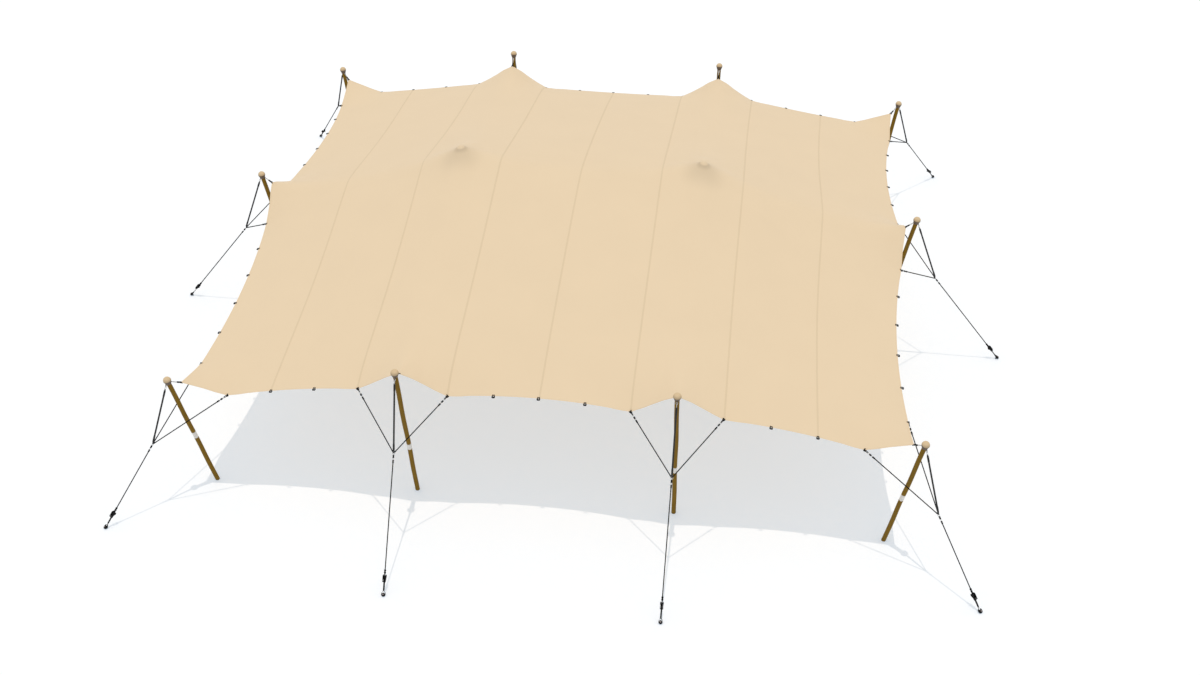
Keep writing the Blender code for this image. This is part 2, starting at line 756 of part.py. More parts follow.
def main():
    clear_scene()
    fabric = material("stretch fabric", (0.81, 0.66, 0.45), 0.85)
    wood = material("varnished eucalyptus", (0.20, 0.12, 0.02), 0.5)
    metal = material("painted ball and zinc collar", (0.68, 0.55, 0.38), 0.5)
    webbing = material("polyester rope and webbing", (0.04, 0.04, 0.04), 0.8)
    steel = material("black coated steel", (0.01, 0.01, 0.01), 0.4, 0.6)
    net, loop_ends = make_canopy(fabric)
    make_inner_poles(wood, metal)
    make_edge_places(net, loop_ends, wood, metal, webbing, steel)


main()
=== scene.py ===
import math

import bmesh
import bpy
import numpy as np
from mathutils import Matrix, Vector


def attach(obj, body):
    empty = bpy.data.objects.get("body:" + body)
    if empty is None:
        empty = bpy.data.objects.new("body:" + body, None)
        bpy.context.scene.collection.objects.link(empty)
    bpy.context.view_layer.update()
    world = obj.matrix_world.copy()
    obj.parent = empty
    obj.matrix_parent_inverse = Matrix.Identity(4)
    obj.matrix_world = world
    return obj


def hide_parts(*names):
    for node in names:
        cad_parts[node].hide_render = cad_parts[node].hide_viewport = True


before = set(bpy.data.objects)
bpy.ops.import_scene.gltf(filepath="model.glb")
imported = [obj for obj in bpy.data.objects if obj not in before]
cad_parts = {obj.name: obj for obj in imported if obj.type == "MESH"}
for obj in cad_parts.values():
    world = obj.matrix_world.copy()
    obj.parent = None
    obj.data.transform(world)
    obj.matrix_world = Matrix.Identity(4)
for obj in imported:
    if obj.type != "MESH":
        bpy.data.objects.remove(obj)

bl_info = {
    "name": "Stretch tent",
    "version": (1, 0, 0),
    "blender": (4, 5, 0),
    "location": "3D View > Sidebar > Tent",
    "description": "Dresses a stretch tent: cloth, timber poles, bridles, ratchets and stakes",
    "category": "Object",
}

UPRIGHT = (0.0, 0.0, 1.0)

# The net's pitches, and the tent's places in the quarter with x and y positive, as in the solids.
# Sizes and places are in metres.
PITCH = 0.75
PITCHES_ACROSS = 16
PITCHES_DEEP = 14
CELLS_PER_PITCH = 2
CELL = PITCH / CELLS_PER_PITCH
COLUMNS = PITCHES_ACROSS * CELLS_PER_PITCH
ROWS = PITCHES_DEEP * CELLS_PER_PITCH
CORNER_TIP = (6.0, 5.25, 2.32)
CORNER_GUY_FRONT = (5.26, 5.21, 2.08)
CORNER_GUY_SIDE = (5.975, 4.47, 2.085)
END_TIP = (2.25, 5.245, 2.907)
END_GUY_OUTER = (3.0, 5.19, 2.45)
END_GUY_INNER = (1.5, 5.19, 2.455)
SIDE_TIP = (6.015, 0.0, 2.917)
SIDE_GUY = (5.96, 0.745, 2.46)
INNER_PEAK = (2.25, 0.0, 4.045)

# How hard the net's threads pull against the others, in the hems and in bands along the inner poles
END_HEM_PULL = 28.0
SIDE_HEM_PULL = 31.0
RIDGE_PULL = 4.3
POLE_LINE_PULL = 5.5
PULL_BAND = 0.3

# Hem loops and tabs, with outlines of (out from the hem, along it) for one side
LOOP_WIDTH = 0.024
LOOP_OUT = 0.022
LOOP_CORD_RADIUS = 0.0105
SLACK_OUTLINE = (
    (-0.024, 0.011),
    (-0.004, 0.0125),
    (0.012, 0.018),
    (0.026, 0.0185),
    (0.033, 0.011),
    (0.029, 0.004),
    (0.024, 0.0),
)
TAB_OUTLINE = ((-0.02, 0.027), (-0.004, 0.0265), (0.01, 0.0215), (0.02, 0.017))
TAB_HALF_THICKNESS = 0.006

# Poles and their heads, and where the stay and the tip's sling meet them from the ball's centre
POLE_RADIUS = 0.039
POLE_BEND = 0.0045
POLE_BEND_PHASE = 0.565
POLE_SWELL = 0.0004
SEAT_GAP = 0.0003
SLEEVE_RADIUS = 0.038
CORNER_SLEEVE = 1.182
TALL_SLEEVE = 1.244
SLEEVE_LENGTH = 0.13
BALL_RADIUS = 0.066
INNER_BALL_CENTRE = 3.95054
COLLAR_BOTTOM = 0.076
EAR_DOWN = 0.082
EAR_OUT = 0.052
EAR_DROP = 0.022
TIP_LUG = 0.02
TIP_STRAP_LENGTH = 0.06

# Bridles
STAY_RADIUS = 0.0148
RING_RADIUS = 0.024
LINK_STEPS = 7
ROPE_STRANDS = 3.0
ROPE_STEP = 0.007
KNOT_TURNS = 3.2
KNOT_LENGTH = 0.028
KNOT_ROPE_RADIUS = 0.0064

# Stakes, with the strap that is wound round them
STAKE_LEAN = math.radians(32)
STAKE_SHANK_RADIUS = 0.015
STAKE_END_RADIUS = 0.0185
STAKE_END_AT = 0.048
STAKE_LOOP_RADIUS = 0.031
STAKE_TURNS = 4.5
STAKE_LOOP_RISE = 0.005
STAKE_COIL_WIDTH = 0.022
STRAP_HEIGHT = 0.0235
STRAP_SPREAD = 0.0058
STRAP_TURN_START = 0.096
STRAP_TURN_LENGTH = 0.06

# Ratchets, along the line from the stake to the junction
RATCHET_START = 0.2
FRAME_LENGTH = 0.128
SPOOL_AT = 0.095
SPOOL_RADIUS = 0.009
SPOOL_TURNS = 2.75
FRAME_PLATE_OUT = 0.0195
HANDLE_PLATE_OUT = 0.0275
PLATE_THICKNESS = 0.003
PLATE_EDGE = 0.0005
WHEEL_IN = 0.0203
WHEEL_THICKNESS = 0.0034
WHEEL_TEETH = 11
CLEARANCE = 0.0004
GUARD_RADIUS = 0.033
GRIP_REACH = 0.08
GRIP_RISE = 0.024
GRIP_RADIUS = 0.008
GRIP_RIBS = 9
HOOK_LENGTH = 0.085

# Painted shade on the cloth in rings round an inner ball, standing for the shade of its steep flanks:
# how far ahead of it their centre is, where they are darkest and where they end, and their share of
# the dark shade. The last ring has a negative share and takes most of the painted shade off the cap.
PAINTED_SHADE_RINGS = ((0.0, 0.07, 0.16, 0.24), (0.12, 0.06, 0.5, 0.24), (0.0, 0.055, 0.085, -0.42))

EDGE_PLACES = {
    "corner": {
        "foot": (5.815, 5.14, 0.0),
        "ball": (6.15, 5.40, 2.472),
        "sleeve": CORNER_SLEEVE,
        "tip": CORNER_TIP,
        "guys": (CORNER_GUY_FRONT, CORNER_GUY_SIDE),
        "junction": (6.496, 5.757, 1.33),
        "stake": (7.299, 6.527),
        "copies": {
            "front_left": (-1, -1),
            "front_right": (1, -1),
            "back_left": (-1, 1),
            "back_right": (1, 1),
        },
    },
    "end": {
        "foot": (2.25, 4.945, 0.0),
        "ball": (2.25, 5.455, 3.091),
        "sleeve": TALL_SLEEVE,
        "tip": END_TIP,
        "guys": (END_GUY_OUTER, END_GUY_INNER),
        "junction": (2.25, 5.992, 1.85),
        "stake": (2.25, 7.388),
        "copies": {
            "front_mid_left": (-1, -1),
            "front_mid_right": (1, -1),
            "back_mid_left": (-1, 1),
            "back_mid_right": (1, 1),
        },
    },
    "side": {
        "foot": (5.68, 0.0, 0.0),
        "ball": (6.193, 0.0, 3.077),
        "sleeve": TALL_SLEEVE,
        "tip": SIDE_TIP,
        "guys": (SIDE_GUY, (SIDE_GUY[0], -SIDE_GUY[1], SIDE_GUY[2])),
        "junction": (6.713, 0.0, 1.8045),
        "stake": (8.158, 0.0),
        "copies": {"left_mid": (-1, 1), "right_mid": (1, 1)},
    },
}
# Where the net is held: pitches from the middle across and along, and the point
HELD_PLACES = (
    (8, 7, CORNER_TIP),
    (7, 7, CORNER_GUY_FRONT),
    (8, 6, CORNER_GUY_SIDE),
    (3, 7, END_TIP),
    (4, 7, END_GUY_OUTER),
    (2, 7, END_GUY_INNER),
    (8, 0, SIDE_TIP),
    (8, 1, SIDE_GUY),
    (3, 0, INNER_PEAK),
)
INNER_POLES = {"inner_left": -1, "inner_right": 1}
SEAM_COLUMNS = range(4, COLUMNS, 4)
STRIP_SEAMS = (8, 16, 24)

# Cloth detail, its steps in cells of the net
CLOTH_STEPS = 5
NORMAL_STEP = 0.02
TAPE_STEP = 0.003
PEAK_STEPS = 16
PEAK_CROWDING = 1.4
HEM_WIDTH = 0.028
BALL_COVER = 0.009
CAP_ANGLE = math.radians(48)
STITCH_LENGTH = 0.009
STITCH_WIDTH = 0.0018
STITCH_PROUD = 0.0006
SHARP_ANGLE = math.radians(35)

# Light, camera and picture
COOL_GLOW = (0.574, 0.786, 1.0, 1.0)
SUN_ANGLE = math.radians(0.4)
FLOOR_RADIUS = 150.0
FLOOR_TOP = -0.0005
FLOOR_UNDERSIDE = -0.02
IMAGE_SIZE = (1200, 675)
CAMERA_PLACE = (3.122, -21.875, 17.439)
CAMERA_PITCH = math.radians(38.762)
CAMERA_TURN = math.radians(7.2356)
FOCAL_PIXELS = 1399.36
SENSOR_WIDTH = 36.0


def linear(hex_colour):
    """The linear colour of an sRGB hex value."""
    shares = [int(hex_colour[k : k + 2], 16) / 255 for k in (1, 3, 5)]
    return tuple(s / 12.92 if s <= 0.04045 else ((s + 0.055) / 1.055) ** 2.4 for s in shares) + (1.0,)


def add(tree, kind, inputs=None, **settings):
    """Adds a node with its settings, and links or fills its inputs by name or number."""
    made = tree.nodes.new(kind)
    for name, value in settings.items():
        setattr(made, name, value)
    for name, value in (inputs or {}).items():
        socket = made.inputs[name]
        if isinstance(value, bpy.types.NodeSocket):
            tree.links.new(value, socket)
        else:
            socket.default_value = value
    return made


def colour_setting(name, description, hex_colour):
    """A colour that a user may change, from an sRGB hex value."""
    return bpy.props.FloatVectorProperty(
        name=name,
        description=description,
        subtype="COLOR",
        size=4,
        min=0.0,
        max=1.0,
        default=linear(hex_colour),
    )


def size_setting(name, description, default):
    """A size that a user may change, in metres."""
    return bpy.props.FloatProperty(
        name=name, description=description, unit="LENGTH", min=0.0005, default=default
    )


def strength_setting(name, description, default):
    """A strength of light that a user may change."""
    return bpy.props.FloatProperty(name=name, description=description, min=0.0, default=default)


class TentClothSettings(bpy.types.PropertyGroup):
    cloth: colour_setting("Cloth", "Colour of the stretch knit", "#EAD3B1")
    seam: colour_setting("Seams", "Colour of the seam and hem tape", "#E2CCAA")
    loop: colour_setting("Loops", "Colour of the hem loops", "#0C0C0C")
    thickness: size_setting("Cloth thickness", "Thickness of one layer of cloth with its coating", 0.003)
    seam_width: size_setting("Seam width", "Width of the tape over each seam", 0.03)
    seam_thickness: size_setting("Seam thickness", "Thickness of the seams and the hem", 0.0052)
    stitch_pitch: size_setting("Stitch pitch", "Distance from stitch to stitch", 0.015)


class TentPoleSettings(bpy.types.PropertyGroup):
    timber: colour_setting("Timber", "Colour of the oiled poles", "#7C5F1B")
    sleeve: colour_setting("Sleeve", "Colour of the joint sleeves", "#DAD7D2")
    # Painted light: the ball colour shows where the balls face up; turned_beech paints them browner
    # below.
    ball: colour_setting("Ball", "Colour of the turned balls where the sun bleaches them", "#DCC29B")
    collar: colour_setting("Collar", "Colour of the weathered collars", "#6A5D52")


class TentLineSettings(bpy.types.PropertyGroup):
    rope: colour_setting("Rope", "Colour of the guy rope", "#101010")
    webbing: colour_setting("Webbing", "Colour of the stays", "#2B2B2C")
    strap: colour_setting("Straps", "Colour of the ratchet straps, sewn tabs and tip slings", "#101011")
    fitting: colour_setting("Fittings", "Colour of the links and shackles", "#C9CACB")
    steel: colour_setting("Ratchet steel", "Colour of the coated ratchets", "#060607")
    stake: colour_setting("Stakes", "Colour of the forged stakes", "#2B2725")
    rope_radius: size_setting("Rope radius", "Radius over the strands of the guy rope", 0.0096)
    lay_length: size_setting("Lay length", "Length of one full turn of the rope's strands", 0.042)
    webbing_width: size_setting("Webbing width", "Width of the ratchet straps", 0.025)
    webbing_thickness: size_setting("Webbing thickness", "Thickness of one ply of webbing", 0.0032)


class TentStageSettings(bpy.types.PropertyGroup):
    floor: colour_setting("Floor", "Colour of the studio floor", "#DFD4C8")
    glow: strength_setting("Floor glow", "How much light the floor gives by itself", 0.472)
    sun: strength_setting("Overhead light", "Strength of the light from above", 1.03)
    sky: strength_setting("Surround", "Brightness of the surroundings", 0.68)


def new_finish(name, roughness, metallic=0.0, sheen=0.0, specular=0.5):
    """A material with a Principled shader, its colour left to be linked."""
    made = bpy.data.materials.new(name)
    made.use_nodes = True
    tree = made.node_tree
    shader = tree.nodes["Principled BSDF"]
    shader.inputs["Roughness"].default_value = roughness
    shader.inputs["Metallic"].default_value = metallic
    shader.inputs["Sheen Weight"].default_value = sheen
    shader.inputs["Specular IOR Level"].default_value = specular
    return made, tree, shader


def shaded(colour, share):
    """A colour made darker or lighter by a share of itself."""
    return tuple(min(part * share, 1.0) for part in colour[:3]) + (1.0,)


def mottle(tree, shader, where, colour, scale, spread, stretch=(1, 1, 1), detail=3.0):
    """Breaks the base colour up with noise between two shades, and gives the noise and the colour."""
    placed = add(tree, "ShaderNodeMapping", {"Vector": where, "Scale": stretch})
    settings = {"Vector": placed.outputs[0], "Scale": scale, "Detail": detail}
    noise = add(tree, "ShaderNodeTexNoise", settings)
    shade = add(
        tree,
        "ShaderNodeMix",
        {0: noise.outputs[0], 6: shaded(colour, 1 - spread), 7: shaded(colour, 1 + spread)},
        data_type="RGBA",
    )
    tree.links.new(shade.outputs[2], shader.inputs["Base Color"])
    return noise.outputs[0], shade.outputs[2]


def bumped(tree, shader, height, depth, strength=1.0):
    """Raises the surface by up to depth metres where the height is 1."""
    bump = add(tree, "ShaderNodeBump", {"Height": height, "Distance": depth, "Strength": strength})
    tree.links.new(bump.outputs[0], shader.inputs["Normal"])


def roughened(tree, shader, factor, low, high):
    """Makes the surface rougher where the factor is high."""
    spread = add(tree, "ShaderNodeMapRange", {"Value": factor, "To Min": low, "To Max": high})
    tree.links.new(spread.outputs[0], shader.inputs["Roughness"])


def flecked(tree, shader, where, stretch, scale, limits, amount, shade, mark):
    """Marks the base colour with fine flecks where noise passes its limits, and gives the noise."""
    placed = add(tree, "ShaderNodeMapping", {"Vector": where, "Scale": stretch}).outputs[0]
    noise = add(tree, "ShaderNodeTexNoise", {"Vector": placed, "Scale": scale, "Detail": 2.0}).outputs[0]
    share = add(
        tree,
        "ShaderNodeMapRange",
        {"Value": noise, "From Min": limits[0], "From Max": limits[1], "To Max": amount},
    )
    marks = add(tree, "ShaderNodeMix", {0: share.outputs[0], 6: shade, 7: mark}, data_type="RGBA")
    tree.links.new(marks.outputs[2], shader.inputs["Base Color"])
    return noise


def woven(tree, where, across, along, operation):
    """Ribs both ways, this many metres apart. A wave texture at scale 1 repeats every pi / 10 metres."""
    ribs = [
        add(
            tree,
            "ShaderNodeTexWave",
            {"Vector": where, "Scale": math.pi / 10 / period},
            bands_direction=direction,
        ).outputs[1]
        for period, direction in ((across, "X"), (along, "Y"))
    ]
    return add(tree, "ShaderNodeMath", {0: ribs[0], 1: ribs[1]}, operation=operation).outputs[0]


def painted_shade_share(tree):
    """Painted shade on the cloth round the two inner balls, mostly on the side that faces the front."""
    place = add(tree, "ShaderNodeTexCoord").outputs["Object"]
    folded = add(tree, "ShaderNodeVectorMath", {0: place}, operation="ABSOLUTE").outputs[0]
    sideways = add(tree, "ShaderNodeSeparateXYZ", {0: folded}).outputs[0]
    forwards = add(tree, "ShaderNodeSeparateXYZ", {0: place}).outputs[1]
    level = add(tree, "ShaderNodeCombineXYZ", {0: sideways, 1: forwards}).outputs[0]
    total = 0.0
    for ahead, near, far, share in PAINTED_SHADE_RINGS:
        centre = (INNER_PEAK[0], -ahead, 0.0)
        away = add(tree, "ShaderNodeVectorMath", {0: level, 1: centre}, operation="DISTANCE")
        limits = {"From Min": near, "From Max": far, "To Min": share, "To Max": 0.0}
        ring = add(
            tree,
            "ShaderNodeMapRange",
            {"Value": away.outputs["Value"], **limits},
            interpolation_type="SMOOTHSTEP",
        ).outputs[0]
        total = add(tree, "ShaderNodeMath", {0: total, 1: ring}, operation="ADD").outputs[0]
    return total


def stretch_knit(name, colour):
    # Warp-knitted polyester with elastane and a matt coating: even, soft, with fine ribs that catch
    # little light. The wales are 0.6 mm apart, drawn 3 mm apart so that they show.
    made, tree, shader = new_finish(name, 0.82, sheen=0.12, specular=0.25)
    cloth_map = add(tree, "ShaderNodeUVMap", uv_map="UVMap").outputs[0]
    _, shade = mottle(tree, shader, cloth_map, colour, 1.3, 0.018, detail=2.0)
    # Painted shade: the cloth is darker round the inner balls, as the shade of their steep flanks.
    dark = shaded(colour, 0.5)
    with_painted_shade = add(tree, "ShaderNodeMix", {0: painted_shade_share(tree), 6: shade, 7: dark}, data_type="RGBA")
    tree.links.new(with_painted_shade.outputs[2], shader.inputs["Base Color"])
    bumped(tree, shader, woven(tree, cloth_map, 0.003, 0.0024, "MULTIPLY"), 0.00025, 0.5)
    return made


def polyester_web(name, colour):
    # Woven polyester webbing: dull, with ribs across it. The picks are 1.2 mm apart, drawn 2.5 mm
    # apart so that they show.
    made, tree, shader = new_finish(name, 0.75, sheen=0.05, specular=0.25)
    web_map = add(tree, "ShaderNodeUVMap", uv_map="UVMap").outputs[0]
    mottle(tree, shader, web_map, colour, 260.0, 0.3, stretch=(1.0, 0.4, 1.0))
    bumped(tree, shader, woven(tree, web_map, 0.0018, 0.0025, "ADD"), 0.0003, 0.6)
    return made


def polyester_rope(name, colour):
    # Three-strand spun polyester rope: matt, with darker yarns and a little fuzz. Its strands are
    # modelled.
    made, tree, shader = new_finish(name, 0.85, sheen=0.03, specular=0.12)
    rope_map = add(tree, "ShaderNodeUVMap", uv_map="UVMap").outputs[0]
    noise, _ = mottle(tree, shader, rope_map, colour, 420.0, 0.35, stretch=(1.6, 0.35, 1.0))
    bumped(tree, shader, noise, 0.0004, 0.7)
    return made


def oiled_timber(name, colour):
    # Debarked eucalyptus, sanded and oiled: golden brown, with long darker streaks 18 mm wide, fine
    # pores and little gloss. The pores are 0.3 mm wide, drawn 2.4 mm wide so that they show.
    made, tree, shader = new_finish(name, 0.5, specular=0.08)
    grain = add(tree, "ShaderNodeAttribute", attribute_name="grain").outputs["Vector"]
    streaks, shade = mottle(tree, shader, grain, colour, 55.0, 0.34, (0.05, 1.0, 1.0), detail=4.0)
    dark = shaded(colour, 0.35)
    pores = flecked(tree, shader, grain, (0.03, 1.0, 1.0), 420.0, (0.42, 0.3), 0.55, shade, dark)
    roughened(tree, shader, streaks, 0.48, 0.68)
    bumped(tree, shader, pores, 0.0005, 0.35)
    return made


def turned_beech(name, colour):
    # Turned beech with flecks 1 mm wide, drawn 1.7 mm wide. It is painted lighter where it faces up and
    # browner where it faces down: painted light on its top and painted shade underneath.
    made, tree, shader = new_finish(name, 0.55, specular=0.2)
    place = add(tree, "ShaderNodeTexCoord").outputs["Object"]
    _, upper_tone = mottle(tree, shader, place, colour, 22.0, 0.05, stretch=(1.0, 1.0, 0.3))
    # Painted shade: the lower the surface faces, the browner it is painted, as if shaded from above.
    normal = add(tree, "ShaderNodeNewGeometry").outputs["Normal"]
    facing = add(tree, "ShaderNodeSeparateXYZ", {0: normal}).outputs[2]
    upward_share = add(tree, "ShaderNodeMapRange", {"Value": facing, "From Min": -0.55, "From Max": 0.75})
    brown, dark = shaded(colour, 0.3), shaded(colour, 0.62)
    with_painted_shade_below = add(tree, "ShaderNodeMix", {0: upward_share.outputs[0], 6: brown, 7: upper_tone}, data_type="RGBA")
    shade = with_painted_shade_below.outputs[2]
    flecks = flecked(tree, shader, place, (1.0, 1.0, 0.2), 600.0, (0.58, 0.68), 0.5, shade, dark)
    roughened(tree, shader, flecks, 0.5, 0.62)
    bumped(tree, shader, flecks, 0.0002, 0.25)
    return made


def galvanised(name, colour, roughness, metallic):
    # Hot-dip galvanised steel: grey metal whose zinc has set in crystals 4 to 8 mm across.
    made, tree, shader = new_finish(name, roughness, metallic=metallic, specular=0.3)
    place = add(tree, "ShaderNodeTexCoord").outputs["Object"]
    crystals = add(tree, "ShaderNodeTexVoronoi", {"Vector": place, "Scale": 160.0})
    tone = add(tree, "ShaderNodeSeparateColor", {0: crystals.outputs["Color"]}).outputs[0]
    shade = add(
        tree,
        "ShaderNodeMix",
        {0: tone, 6: shaded(colour, 0.82), 7: shaded(colour, 1.15)},
        data_type="RGBA",
    )
    tree.links.new(shade.outputs[2], shader.inputs["Base Color"])
    roughened(tree, shader, tone, roughness - 0.08, roughness + 0.12)
    bumped(tree, shader, crystals.outputs["Distance"], 0.0002, 0.2)
    return made


def coated_metal(name, colour, worn_colour, roughness, worn_share, grain):
    # Steel under a baked coat: dull and slightly pebbled, scuffed through to bare metal in patches
    # 8 mm wide.
    made, tree, shader = new_finish(name, roughness, specular=0.15)
    place = add(tree, "ShaderNodeTexCoord").outputs["Object"]
    _, shade = mottle(tree, shader, place, colour, 45.0, 0.2)
    scuffs = add(
        tree, "ShaderNodeTexNoise", {"Vector": place, "Scale": 120.0, "Detail": 6.0, "Roughness": 0.7}
    )
    worn = add(
        tree,
        "ShaderNodeMapRange",
        {"Value": scuffs.outputs[0], "From Min": 1 - worn_share, "From Max": 1.06 - worn_share},
    ).outputs[0]
    bare = add(tree, "ShaderNodeMix", {0: worn, 6: shade, 7: worn_colour}, data_type="RGBA")
    tree.links.new(bare.outputs[2], shader.inputs["Base Color"])
    tree.links.new(worn, shader.inputs["Metallic"])
    roughened(tree, shader, worn, roughness, 0.3)
    pebbles = add(tree, "ShaderNodeTexNoise", {"Vector": place, "Scale": 1 / grain, "Detail": 2.0})
    bumped(tree, shader, pebbles.outputs[0], grain * 0.12, 0.5)
    return made


def moulded_nylon(name, colour):
    # Injection-moulded nylon: near black, satin, with a fine spark-eroded grain of 0.6 mm.
    made, tree, shader = new_finish(name, 0.5, specular=0.15)
    place = add(tree, "ShaderNodeTexCoord").outputs["Object"]
    mottle(tree, shader, place, colour, 80.0, 0.18)
    grain = add(tree, "ShaderNodeTexNoise", {"Vector": place, "Scale": 1600.0}).outputs[0]
    roughened(tree, shader, grain, 0.4, 0.58)
    bumped(tree, shader, grain, 0.0001, 0.4)
    return made


def studio_floor(name, colour):
    # Matt board on a light table, with faint mottling. Its cool glow evens out the warm light that
    # comes off the cloth.
    made, tree, shader = new_finish(name, 0.9, specular=0.0)
    place = add(tree, "ShaderNodeTexCoord").outputs["Object"]
    mottle(tree, shader, place, colour, 0.4, 0.003)
    shader.inputs["Emission Color"].default_value = COOL_GLOW
    shader.inputs["Emission Strength"].default_value = bpy.context.scene.tent_stage.glow
    return made


def finish_of(name):
    """The finish of this name, made the first time that it is asked for."""
    if name in bpy.data.materials:
        return bpy.data.materials[name]
    scene = bpy.context.scene
    cloth, poles, lines, stage = scene.tent_cloth, scene.tent_poles, scene.tent_lines, scene.tent_stage
    makers = {
        "coated stretch knit": (stretch_knit, cloth.cloth),
        "seam tape": (stretch_knit, cloth.seam),
        "sewing thread": (polyester_rope, shaded(cloth.seam, 0.96)),
        "black loop cord": (polyester_web, cloth.loop),
        "oiled eucalyptus": (oiled_timber, poles.timber),
        "powder-coated sleeve": (coated_metal, poles.sleeve, linear("#8E8F90"), 0.42, 0.33, 0.0015),
        # Painted shade: the ball is painted browner where it faces down.
        "bleached beech": (turned_beech, poles.ball),
        "weathered collar": (galvanised, poles.collar, 0.6, 0.2),
        "galvanised fitting": (galvanised, lines.fitting, 0.38, 0.75),
        "polyester webbing": (polyester_web, lines.webbing),
        "black strap": (polyester_web, lines.strap),
        "three-strand rope": (polyester_rope, lines.rope),
        "moulded nylon": (moulded_nylon, linear("#070708")),
        "black coated steel": (coated_metal, lines.steel, linear("#2C2D2F"), 0.6, 0.2, 0.001),
        "blackened wheel": (coated_metal, linear("#0B0B0C"), linear("#3C3D3E"), 0.55, 0.22, 0.001),
        "forged stake steel": (coated_metal, lines.stake, linear("#5A524B"), 0.72, 0.4, 0.004),
        # The stake end is drawn lighter: hammer wear, and a painted highlight of its lit top.
        "hammered stake end": (coated_metal, linear("#8A8280"), linear("#A8A29C"), 0.6, 0.45, 0.003),
        "matt studio board": (studio_floor, stage.floor),
    }
    maker, colour, *rest = makers[name]
    return maker(name, tuple(colour), *rest)


def geometry_tree(name, sockets):
    """A geometry tree with a geometry going in and out, and these further inputs by name and kind."""
    tree = bpy.data.node_groups.new(name, "GeometryNodeTree")
    tree.interface.new_socket("Geometry", in_out="INPUT", socket_type="NodeSocketGeometry")
    for label, kind in sockets.items():
        tree.interface.new_socket(label, in_out="INPUT", socket_type="NodeSocket" + kind)
    tree.interface.new_socket("Geometry", in_out="OUTPUT", socket_type="NodeSocketGeometry")
    return tree, add(tree, "NodeGroupInput").outputs


def end_tree(tree, geometry, finish):
    """Ends a geometry tree with its instances made real and its finish set."""
    real = add(tree, "GeometryNodeRealizeInstances", {"Geometry": geometry})
    painted = add(tree, "GeometryNodeSetMaterial", {"Geometry": real.outputs[0], "Material": finish})
    add(tree, "NodeGroupOutput", {"Geometry": painted.outputs[0]})
    return tree


def mapped_along(tree, path, profile):
    """A mesh along a path with this profile, with metres round and along it as its UV map."""
    measured, read = [], []
    for name, curve in (("along", path), ("around", profile)):
        length = add(tree, "GeometryNodeSplineParameter").outputs["Length"]
        stored = {"Geometry": curve, "Name": name, "Value": length}
        measured.append(add(tree, "GeometryNodeStoreNamedAttribute", stored).outputs[0])
        read.append(add(tree, "GeometryNodeInputNamedAttribute", {"Name": name}).outputs[0])
    tube = add(
        tree,
        "GeometryNodeCurveToMesh",
        {"Curve": measured[0], "Profile Curve": measured[1], "Fill Caps": True},
    )
    both = add(tree, "ShaderNodeCombineXYZ", {"X": read[1], "Y": read[0]})
    mapped = add(
        tree,
        "GeometryNodeStoreNamedAttribute",
        {"Geometry": tube.outputs[0], "Name": "UVMap", "Value": both.outputs[0]},
        data_type="FLOAT2",
        domain="CORNER",
    )
    return mapped.outputs[0]


def faced_path(tree, mesh):
    """The edges of a mesh as a curve that faces the way of the attribute up."""
    path = add(tree, "GeometryNodeMeshToCurve", {"Mesh": mesh}).outputs[0]
    up = add(tree, "GeometryNodeInputNamedAttribute", {"Name": "up"}, data_type="FLOAT_VECTOR")
    faced = {"Curve": path, "Normal": up.outputs[0]}
    return add(tree, "GeometryNodeSetCurveNormal", faced, mode="FREE").outputs[0]


def rope_tree():
    """A rope of twisted strands along a path."""
    sizes = dict.fromkeys(("Radius", "Lay length", "Strands", "Step"), "Float")
    tree, given = geometry_tree("Laid rope", {**sizes, "Finish": "Material"})
    path = add(tree, "GeometryNodeMeshToCurve", {"Mesh": given["Geometry"]})
    steps = {"Curve": path.outputs[0], "Length": given["Step"]}
    even = add(tree, "GeometryNodeResampleCurve", steps, mode="LENGTH")
    length = add(tree, "GeometryNodeSplineParameter").outputs["Length"]
    turns = add(tree, "ShaderNodeMath", {0: length, 1: given["Lay length"]}, operation="DIVIDE")
    angle = add(tree, "ShaderNodeMath", {0: turns.outputs[0], 1: math.tau}, operation="MULTIPLY")
    laid = add(tree, "GeometryNodeSetCurveTilt", {"Curve": even.outputs[0], "Tilt": angle.outputs[0]})
    ring = add(tree, "GeometryNodeCurvePrimitiveCircle", {"Resolution": 12, "Radius": given["Radius"]})
    share = add(tree, "GeometryNodeSplineParameter").outputs["Factor"]
    swing = add(tree, "ShaderNodeMath", {0: share, 1: given["Strands"]}, operation="MULTIPLY")
    phase = add(tree, "ShaderNodeMath", {0: swing.outputs[0], 1: math.tau}, operation="MULTIPLY")
    wave = add(tree, "ShaderNodeMath", {0: phase.outputs[0]}, operation="COSINE")
    reach = add(tree, "ShaderNodeMapRange", {"Value": wave.outputs[0], "From Min": -1.0, "To Min": 0.86})
    place = add(tree, "GeometryNodeInputPosition").outputs[0]
    moved = add(tree, "ShaderNodeVectorMath", {0: place, "Scale": reach.outputs[0]}, operation="SCALE")
    lobes = {"Geometry": ring.outputs[0], "Position": moved.outputs[0]}
    profile = add(tree, "GeometryNodeSetPosition", lobes)
    strands = mapped_along(tree, laid.outputs[0], profile.outputs[0])
    return end_tree(tree, strands, given["Finish"])


def web_tree():
    """Flat webbing along a path, its faces square to the path's attribute up."""
    sizes = dict.fromkeys(("Width", "Thickness"), "Float")
    tree, given = geometry_tree("Flat webbing", {**sizes, "Finish": "Material"})
    sides = {"Width": given["Thickness"], "Height": given["Width"]}
    section = add(tree, "GeometryNodeCurvePrimitiveQuadrilateral", sides)
    corner = add(tree, "ShaderNodeMath", {0: given["Thickness"], 1: 0.4}, operation="MULTIPLY")
    soft = add(
        tree,
        "GeometryNodeFilletCurve",
        {"Curve": section.outputs[0], "Radius": corner.outputs[0], "Count": 2},
        mode="POLY",
    )
    web = mapped_along(tree, faced_path(tree, given["Geometry"]), soft.outputs[0])
    return end_tree(tree, web, given["Finish"])


